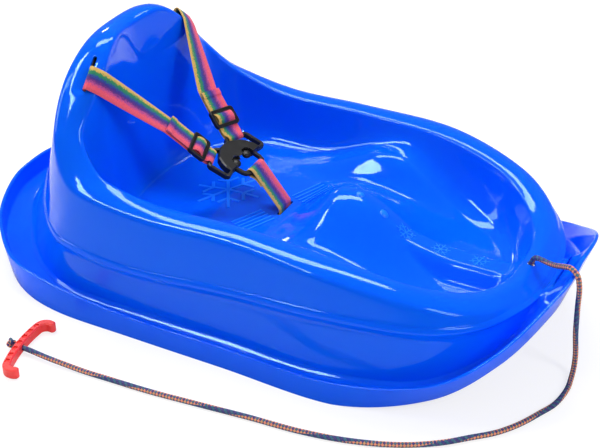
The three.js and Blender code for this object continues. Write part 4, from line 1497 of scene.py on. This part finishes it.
@dataclass(frozen=True)
class BuckleFrame:
    """Where the buckle hangs: X forward to the fork, Y to the side and Z out of its top."""

    origin: Row = (-0.0783 * LENGTH, -0.003, 0.503 * HEIGHT)
    pitch: float = math.radians(20)
    housing_length: float = 0.0345
    housing_width: float = 0.069
    wing_bar: tuple[tuple[float, float], ...] = ((-0.725, 0.406), (-0.449, 1.246))

    def at(self, x: float, y: float, z: float = 0.0) -> Array:
        """A place in the buckle's own directions.

        Args:
            x: how far towards the fork.
            y: how far to the left.
            z: how far out of the top.

        Returns:
            The point.
        """
        forward = vec(math.cos(self.pitch), 0, -math.sin(self.pitch))
        top = vec(math.sin(self.pitch), 0, math.cos(self.pitch))
        return np.array(self.origin) + forward * x + vec(0, 1, 0) * y + top * z


@dataclass(frozen=True)
class WingFrame:
    """The rear bar of a buckle wing: X along the strap to the bar, Y along the bar and Z up."""

    origin: Array
    along: Array
    bar: Array
    up: Array

    def at(self, back: float, rise: float) -> Array:
        """A place behind the bar and above the strap's own line."""
        return self.origin - self.along * back + self.up * rise


@dataclass
class Band:
    """One length of webbing along a list of cross-sections."""

    rows: list[tuple[Array, Array, float, float]]
    flat_share: float = 0.965
    crease: float = math.radians(60)

    def add(
        self, points: Sequence[Array], across: Array,
        width: float = WEBBING_WIDTH, thick: float = WEBBING_THICK,
    ) -> None:
        """Adds cross-sections that share their direction and size."""
        self.rows += [(np.asarray(point), across, width, thick) for point in points]

    def build(self, name: str, flip: bool, smooth: int = 2) -> Piece:
        """Builds the webbing.

        Args:
            name: the object's name.
            flip: whether the first stripe lies on the side that the sections point to.
            smooth: how often the path's corners are cut.

        Returns:
            The webbing, with its lay map.
        """
        path, across, sizes = (
            corner_cut(np.array([row[part] for row in self.rows]), smooth) for part in (0, 1, slice(2, 4))
        )
        along = unit(np.gradient(path, axis=0))
        face = unit(np.cross(along, unit(across)))
        side = np.cross(face, along)
        flat = np.linspace(-self.flat_share, self.flat_share, 7)
        section = [*((x, 1.0) for x in flat), (1.0, 0.0), *((x, -1.0) for x in flat[::-1]), (-1.0, 0.0)]
        rings = np.stack([
            path + side * (sizes[:, :1] / 2 * x) + face * (sizes[:, 1:] / 2 * z) for x, z in section
        ], axis=1)
        shares = np.array([(x + 1) / 2 for x, _ in (*section, section[0])])
        made = skin(name, rings, 1 - shares if flip else shares, run_lengths(path))
        made.data.set_sharp_from_angle(angle=self.crease)
        return made


@dataclass
class Harness:
    """The shoulder straps and the crotch strap, with their loops round the stop bars, and the webbing over
    the sliders.
    """

    shell: SledShell
    buckle: BuckleFrame = BuckleFrame()
    bunch: float = 0.024
    stop_radius: float = 0.003
    stop_wrap: float = math.radians(292)
    stop_drop: float = 0.0102
    crotch_stop_drop: float = 0.0083
    rise: float = 0.001
    fold: float = 0.004
    fold_angles: tuple[float, ...] = (144, 112.5, 81)
    turn_length: float = 0.0025
    close_length: float = 0.0075
    tail_length: float = 0.068
    hem_length: float = 0.008
    crotch_tail: float = 0.022
    wing_turn: float = math.hypot(0.002, 0.001) + CLEAR + WEBBING_THICK / 2
    layer_gap: float = 2 * CLEAR + WEBBING_THICK + SLIDER_BAR_THICK
    fork_turn: float = math.hypot(0.0025, 0.0025) + CLEAR + WEBBING_THICK / 2
    fork_bar: float = 0.0285
    bulge: float = 0.0046
    slider_window: float = 0.0076
    bulge_shrink: float = 0.0016

    @property
    def stop_turn(self) -> float:
        """The radius of the loop round a stop bar."""
        return self.stop_radius + CLEAR + WEBBING_THICK / 2

    def stop_loop(self, place: RimFrame, drop: float) -> Array:
        """The sewn loop round a stop bar and the rise through the slot.

        Args:
            place: the slot's frame.
            drop: how far the bar lies under it.

        Returns:
            The path's points.
        """
        middle = place.origin - place.normal * drop - place.forward * self.stop_turn
        angles = np.linspace(-self.stop_wrap, 0, 15)
        loop = arc(middle, place.forward, place.normal, self.stop_turn, angles)
        return np.vstack([loop, place.origin + place.normal * self.rise])

    def wing_frame(self, side: Side, edge: Array) -> WingFrame:
        """The frame at the wing's bar for a strap that comes over the rim's edge.

        Args:
            side: which strap.
            edge: where the strap leaves the rim.

        Returns:
            The bar's place and directions.
        """
        ends = [
            self.buckle.at(x * self.buckle.housing_length, side.value * y * self.buckle.housing_width / 2)
            for x, y in self.buckle.wing_bar
        ]
        origin = (ends[0] + ends[1]) / 2
        bar = unit(ends[1] - ends[0]) * side.value
        up = unit(np.cross(origin - edge, bar))
        return WingFrame(origin, np.cross(bar, up), bar, up)

    def shoulder_strap(self, side: Side) -> Piece:
        """One shoulder strap, from its stop loop to the wing and back to its hem.

        Args:
            side: which strap.

        Returns:
            The strap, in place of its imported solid.
        """
        place = self.shell.frame_at(side)
        wing = self.wing_frame(side, place.edge)
        band = Band([])
        band.add(self.stop_loop(place, self.stop_drop), place.along)
        fold_middle = place.origin + place.normal * self.rise + place.forward * self.fold
        angles = np.radians(self.fold_angles)
        band.add(arc(fold_middle, place.forward, place.normal, self.fold, angles), place.along)
        band.add([place.edge], place.along)
        low, top = -self.wing_turn, -self.wing_turn + self.layer_gap
        rear = wing.at(self.tail_length, low)
        for share in np.linspace(0, 1, 12)[1:-1]:
            across = place.along + (wing.bar - place.along) * share
            band.add([place.edge + (rear - place.edge) * share], across)
        band.add([rear, wing.at(self.close_length, low)], wing.bar)
        turn = np.linspace(-math.pi / 2, math.pi / 2, 9)
        band.add(arc(wing.origin, wing.along, wing.up, self.wing_turn, turn), wing.bar, self.bunch)
        band.add([wing.at(self.turn_length, self.wing_turn)], wing.bar, self.bunch)
        hem = self.tail_length - self.hem_length
        raised = top + WEBBING_THICK / 2
        band.add([wing.at(back, top) for back in np.linspace(self.close_length, hem, 6)], wing.bar)
        doubled = [wing.at(hem + CLEAR, raised), wing.at(self.tail_length, raised)]
        band.add(doubled, wing.bar, WEBBING_WIDTH, 2 * WEBBING_THICK)
        strap = band.build(f"webbing_{side.label}", flip=side is Side.RIGHT)
        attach(strap, "sled")
        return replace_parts(strap, f"shoulder_strap_{side.label}")

    def slider_bulge(self, side: Side, setting: float) -> Piece:
        """The webbing that swells over a slider's low bar, riding on the slider.

        Args:
            side: which slider.
            setting: how far it stands behind the wing's bar.

        Returns:
            The swelling.
        """
        wing = self.wing_frame(side, self.shell.frame_at(side).edge)
        top = -self.wing_turn + self.layer_gap + CLEAR
        band = Band([])
        for part in np.linspace(-1, 1, 11):
            lift = self.bulge * math.cos(part * math.pi / 2) ** 0.6
            back = setting - part * self.slider_window
            band.add([wing.at(back, top + lift)], wing.bar, WEBBING_WIDTH - self.bulge_shrink - lift / 3)
        made = band.build(f"slider_webbing_{side.label}", flip=side is Side.RIGHT)
        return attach(made, f"slider_{side.label}")

    def crotch_strap(self) -> Piece:
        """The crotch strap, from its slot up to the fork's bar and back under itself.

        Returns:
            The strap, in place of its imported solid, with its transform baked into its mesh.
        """
        place = self.shell.crotch_frame()
        across = place.along
        bar = self.buckle.at(self.fork_bar, 0)
        foot = place.origin + place.normal * (self.rise + self.fold)
        down = (foot - bar) * [1, 0, 1]
        length = float(np.linalg.norm(down))
        down = down / length
        over = np.cross(down, across)
        band = Band([])
        band.add(self.stop_loop(place, self.crotch_stop_drop), across)
        top = bar + over * self.fork_turn
        band.add([foot + (top - foot) * share for share in np.linspace(0, 1, 14)[:-1]], across)
        angles = np.linspace(0, math.pi, 9)
        band.add(arc(bar, over, -down, self.fork_turn, angles), across)
        band.add([bar + down * self.turn_length - over * self.fork_turn], across)
        for along in (self.crotch_tail / 2, self.crotch_tail):
            layer = self.fork_turn * (1 - along / length) - WEBBING_THICK - 2 * CLEAR
            band.add([bar + down * along + over * layer], across)
        strap = band.build("webbing_crotch", flip=False)
        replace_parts(strap, "crotch_strap")
        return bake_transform(strap)


# Rope and handle

ROPE_ROUTE_MM: tuple[Row, ...] = (
    (324.7, 0, 105.6), (326.8, 0, 113.5), (330, -2, 119), (336, -6, 122), (356, -19, 128),
    (374, -31, 138), (381, -35.5, 141), (390, -40.5, 137.5), (394.2, -42.5, 126), (395, -40.5, 95),
    (396, -38, 60), (398.3, -34, 26), (399.2, -37, 10.5), (400.4, -47, 4.6), (402.5, -70, 3.2),
    (398.5, -101, 3.2), (388.5, -124, 3.2), (375, -151, 3.2), (358, -175, 3.2), (334.5, -197, 3.2),
    (309.5, -219, 3.2), (272.5, -242, 3.2), (221.5, -261, 3.2), (167.5, -272, 3.2),
    (106.5, -277.5, 3.2), (44.5, -284.2, 3.2), (-17.5, -290.5, 3.2), (-68, -293, 3.2),
    (-102, -295, 3.6), (-128, -296.5, 5.6), (-150, -296.9, 6.5), (-172, -295.2, 6.5),
    (-188, -294.2, 6.5), (-199.2, -293.5, 6.5),
)


@dataclass
class PullRope:
    """The braided rope with a knot at each end."""

    radius: float = 0.0032
    sides: int = 32
    step: float = 0.0011
    carriers: int = 8
    pitch: float = 0.03
    relief: float = 0.00028
    knot_cord: float = 0.0023
    knot_sides: int = 20
    knot_scale: float = 0.00131
    knot_set: float = 0.0068

    def path(self) -> Array:
        """The rope's middle line, from the knot under the rim to the end knot."""
        return resampled(centripetal(np.array(ROPE_ROUTE_MM) * MM, 24), self.step)

    def build(self) -> Piece:
        """Builds the rope as a tube with a raised braid.

        Returns:
            The rope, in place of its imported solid.
        """
        path = self.path()
        runs = run_lengths(path)
        turn = np.arange(self.sides) / self.sides
        right, left = ((turn[None] + way * runs[:, None] / self.pitch) * self.carriers for way in (1, -1))
        even = (np.floor(right) + np.floor(left)) % 2 == 0
        hand = np.where(even, right, left)
        swell = np.abs(np.sin(math.pi * hand)) ** 0.7
        rims = tube_rings(path, self.radius - self.relief * (1 - swell))
        rope = skin("rope_braid", rims, np.arange(self.sides + 1) / self.sides, runs)
        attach(rope, "sled")
        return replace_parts(rope, "pull_rope")

    def knot(self, name: str, node: str, middle: Array, axis: Array) -> Piece:
        """A knot pulled tight, from the same cord.

        Args:
            name: the object's name.
            node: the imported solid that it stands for.
            middle: its middle.
            axis: the rope's direction through it.

        Returns:
            The knot.
        """
        turn = np.linspace(0, 2 * math.pi, 121)
        flat = np.column_stack([
            np.sin(turn) + 2 * np.sin(2 * turn), np.cos(turn) - 2 * np.cos(2 * turn), -1.5 * np.sin(3 * turn),
        ]) * self.knot_scale
        side = unit(np.cross(axis, UP if abs(axis[2]) < 0.7 else vec(0, 1, 0)))
        third = np.cross(axis, side)
        path = middle + flat @ np.array([side, third, axis])
        rims = tube_rings(path, np.full((len(path), self.knot_sides), self.knot_cord))
        made = skin(name, rims, np.arange(self.knot_sides + 1) / self.knot_sides, run_lengths(path))
        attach(made, "sled")
        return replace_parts(made, node)

    def knots(self) -> list[Piece]:
        """The knot under the rim and the knot behind the handle.

        Returns:
            The two knots.
        """
        path = self.path()
        first, last = unit(path[0] - path[4]), unit(path[-1] - path[-5])
        return [
            self.knot("knot_under_rim", "rope_front_knot", path[0] + first * self.knot_set, first),
            self.knot("knot_at_handle", "rope_end_knot", path[-1] + last * self.knot_set, last),
        ]


def soften(node: str, width: float, segments: int = 3) -> Piece:
    """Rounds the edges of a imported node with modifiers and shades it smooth.

    Args:
        node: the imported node.
        width: the width of the rounding.
        segments: steps in the rounding.

    Returns:
        The node's object.
    """
    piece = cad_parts[node]
    merge = piece.modifiers.new("flat_faces", "DECIMATE")
    merge.decimate_type = "DISSOLVE"
    merge.angle_limit = FLAT_ANGLE
    bevel = piece.modifiers.new("rounded", "BEVEL")
    bevel.width, bevel.segments = width, segments
    bevel.limit_method, bevel.angle_limit = "ANGLE", EDGE_ANGLE
    bevel.harden_normals = True
    piece.data.shade_smooth()
    return piece


# The studio

Lamp = tuple[str, Row, Row, tuple[float, float], float, bool]

# Each lamp's name, place, aim, size and watts, and whether it shows only as a highlight
LAMPS: tuple[Lamp, ...] = (
    ("overhead", (-0.55, 0.8, 2.3), (0, 0, 0.1), (2.2, 0.5), 56, False),
    ("left_box", (-2.0, -1.0, 1.5), (0, 0, 0.1), (0.5, 1.5), 20, False),
    ("front_box", (1.9, -0.5, 1.5), (0.1, 0, 0.1), (0.5, 1.3), 20, False),
    ("edge_card", (-1.05, -0.9, 2.0), (0, 0, 0.1), (1.9, 0.28), 46, True),
    ("window_card", (-1.87, 1.66, 1.4), (-0.35, -0.1, 0.03), (0.35, 0.2), 4, True),
)


@dataclass
class Studio:
    """Camera, lamps, world and floor."""

    focal_px: float = 1362.0
    image_px: float = 600.0
    sensor: float = 36.0
    clip: tuple[float, float] = (0.05, 60)
    eye: Row = (0.6826, -1.2701, 0.9949)
    azimuth: float = math.radians(27.332)
    elevation: float = math.radians(32.781)
    ambient: float = 0.42
    mirrored: float = 0.16
    floor_reach: float = 14.0
    floor_drop: float = 0.0004

    @staticmethod
    def hang(name: str, data: object, place: Row, facing: Vector) -> Piece:
        """Places a camera or a lamp that looks along a direction.

        Args:
            name: the object's name.
            data: the camera's or lamp's own values.
            place: where it stands.
            facing: the direction that it looks along.

        Returns:
            The object.
        """
        made = bpy.data.objects.new(name, data)
        made.location = place
        made.rotation_mode = "QUATERNION"
        made.rotation_quaternion = facing.to_track_quat("-Z", "Y")
        bpy.context.scene.collection.objects.link(made)
        return made

    def camera(self) -> None:
        """The camera at the photograph's place and angle."""
        data = bpy.data.cameras.new("camera")
        data.sensor_width = self.sensor
        data.lens = self.focal_px / self.image_px * self.sensor
        data.clip_start, data.clip_end = self.clip
        flat = math.cos(self.elevation)
        back = Vector((
            math.sin(self.azimuth) * flat, -math.cos(self.azimuth) * flat, math.sin(self.elevation),
        ))
        bpy.context.scene.camera = self.hang("camera", data, self.eye, -back)

    def lamps(self) -> None:
        """The softboxes round the sled, and the cards that show only as highlights."""
        for name, place, aim, size, watts, gloss_only in LAMPS:
            data = bpy.data.lights.new(name, "AREA")
            data.shape = "RECTANGLE"
            data.size, data.size_y = size
            data.energy = watts
            made = self.hang(name, data, place, Vector(aim) - Vector(place))
            made.visible_diffuse = not gloss_only

    def world(self) -> None:
        """A surround that is white to the camera and lights the sled gently."""
        made = bpy.data.worlds.new("surround")
        bpy.context.scene.world = made
        made.use_nodes = True
        shader = Shader(made.node_tree)
        path = shader.add("LightPath").outputs
        seen = shader.math("MULTIPLY_ADD", path["Is Camera Ray"], 1 - self.ambient, self.ambient)
        strength = shader.math("MULTIPLY_ADD", path["Is Glossy Ray"], self.mirrored - self.ambient, seen)
        shader.feed(made.node_tree.nodes["Background"], {"Strength": strength, "Color": WHITE})

    def build(self, pale: Material) -> None:
        """Builds the studio round the sled, with its floor in the pale finish.

        Args:
            pale: the floor's material.
        """
        self.lamps()
        self.world()
        corners = np.array([(-1, -1, 0), (1, -1, 0), (1, 1, 0), (-1, 1, 0)]) * self.floor_reach
        ground = mesh_object("ground", corners - UP * self.floor_drop, [[0, 1, 2, 3]])
        dress(ground, pale)
        bpy.context.scene.view_settings.view_transform = "Standard"


def build_rope(wardrobe: Wardrobe) -> None:
    """Args:
        wardrobe: the finishes.
    """
    rope = PullRope()
    braid = dress(rope.build(), wardrobe.rope)
    knots = [dress(knot, wardrobe.rope) for knot in rope.knots()]
    handle = dress(soften("pull_handle", 0.0009), wardrobe.red)


def main() -> None:
    """Builds the sled's classes in order and logs the shell, the reliefs, the webbing and the middle buckle
    parts.
    """
    logging.basicConfig(level=logging.INFO, format="%(name)s: %(message)s")
    studio = Studio()
    studio.camera()
    wardrobe = Wardrobe(Effects())
    build_rope(wardrobe)
    shell = SledShell()
    LOG.info("shell %d faces", len(dress(shell.build(), wardrobe.blue).data.polygons))
    for piece in FloorRelief(shell.floor).build():
        dress(piece, wardrobe.frosted)
        LOG.info("relief %s", piece.name)
    harness = Harness(shell)
    settings = {Side.RIGHT: 0.021, Side.LEFT: 0.029}
    for side in Side:
        for piece in (harness.shoulder_strap(side), harness.slider_bulge(side, settings[side])):
            dress(piece, wardrobe.webbing)
            LOG.info("webbing %s", piece.name)
        for node, width in (("strap_slider", 0.0005), ("buckle_prong", 0.0004), ("strap_stop", 0.0003)):
            dress(soften(f"{node}_{side.label}", width), wardrobe.black)
    dress(harness.crotch_strap(), wardrobe.webbing)
    for node, width in (("buckle_body", 0.0006), ("buckle_fork", 0.0006), ("crotch_stop", 0.0003)):
        dress(soften(node, width), wardrobe.black)
        LOG.info("buckle part %s", node)
    studio.build(wardrobe.pale)


if __name__ == "__main__":
    main()
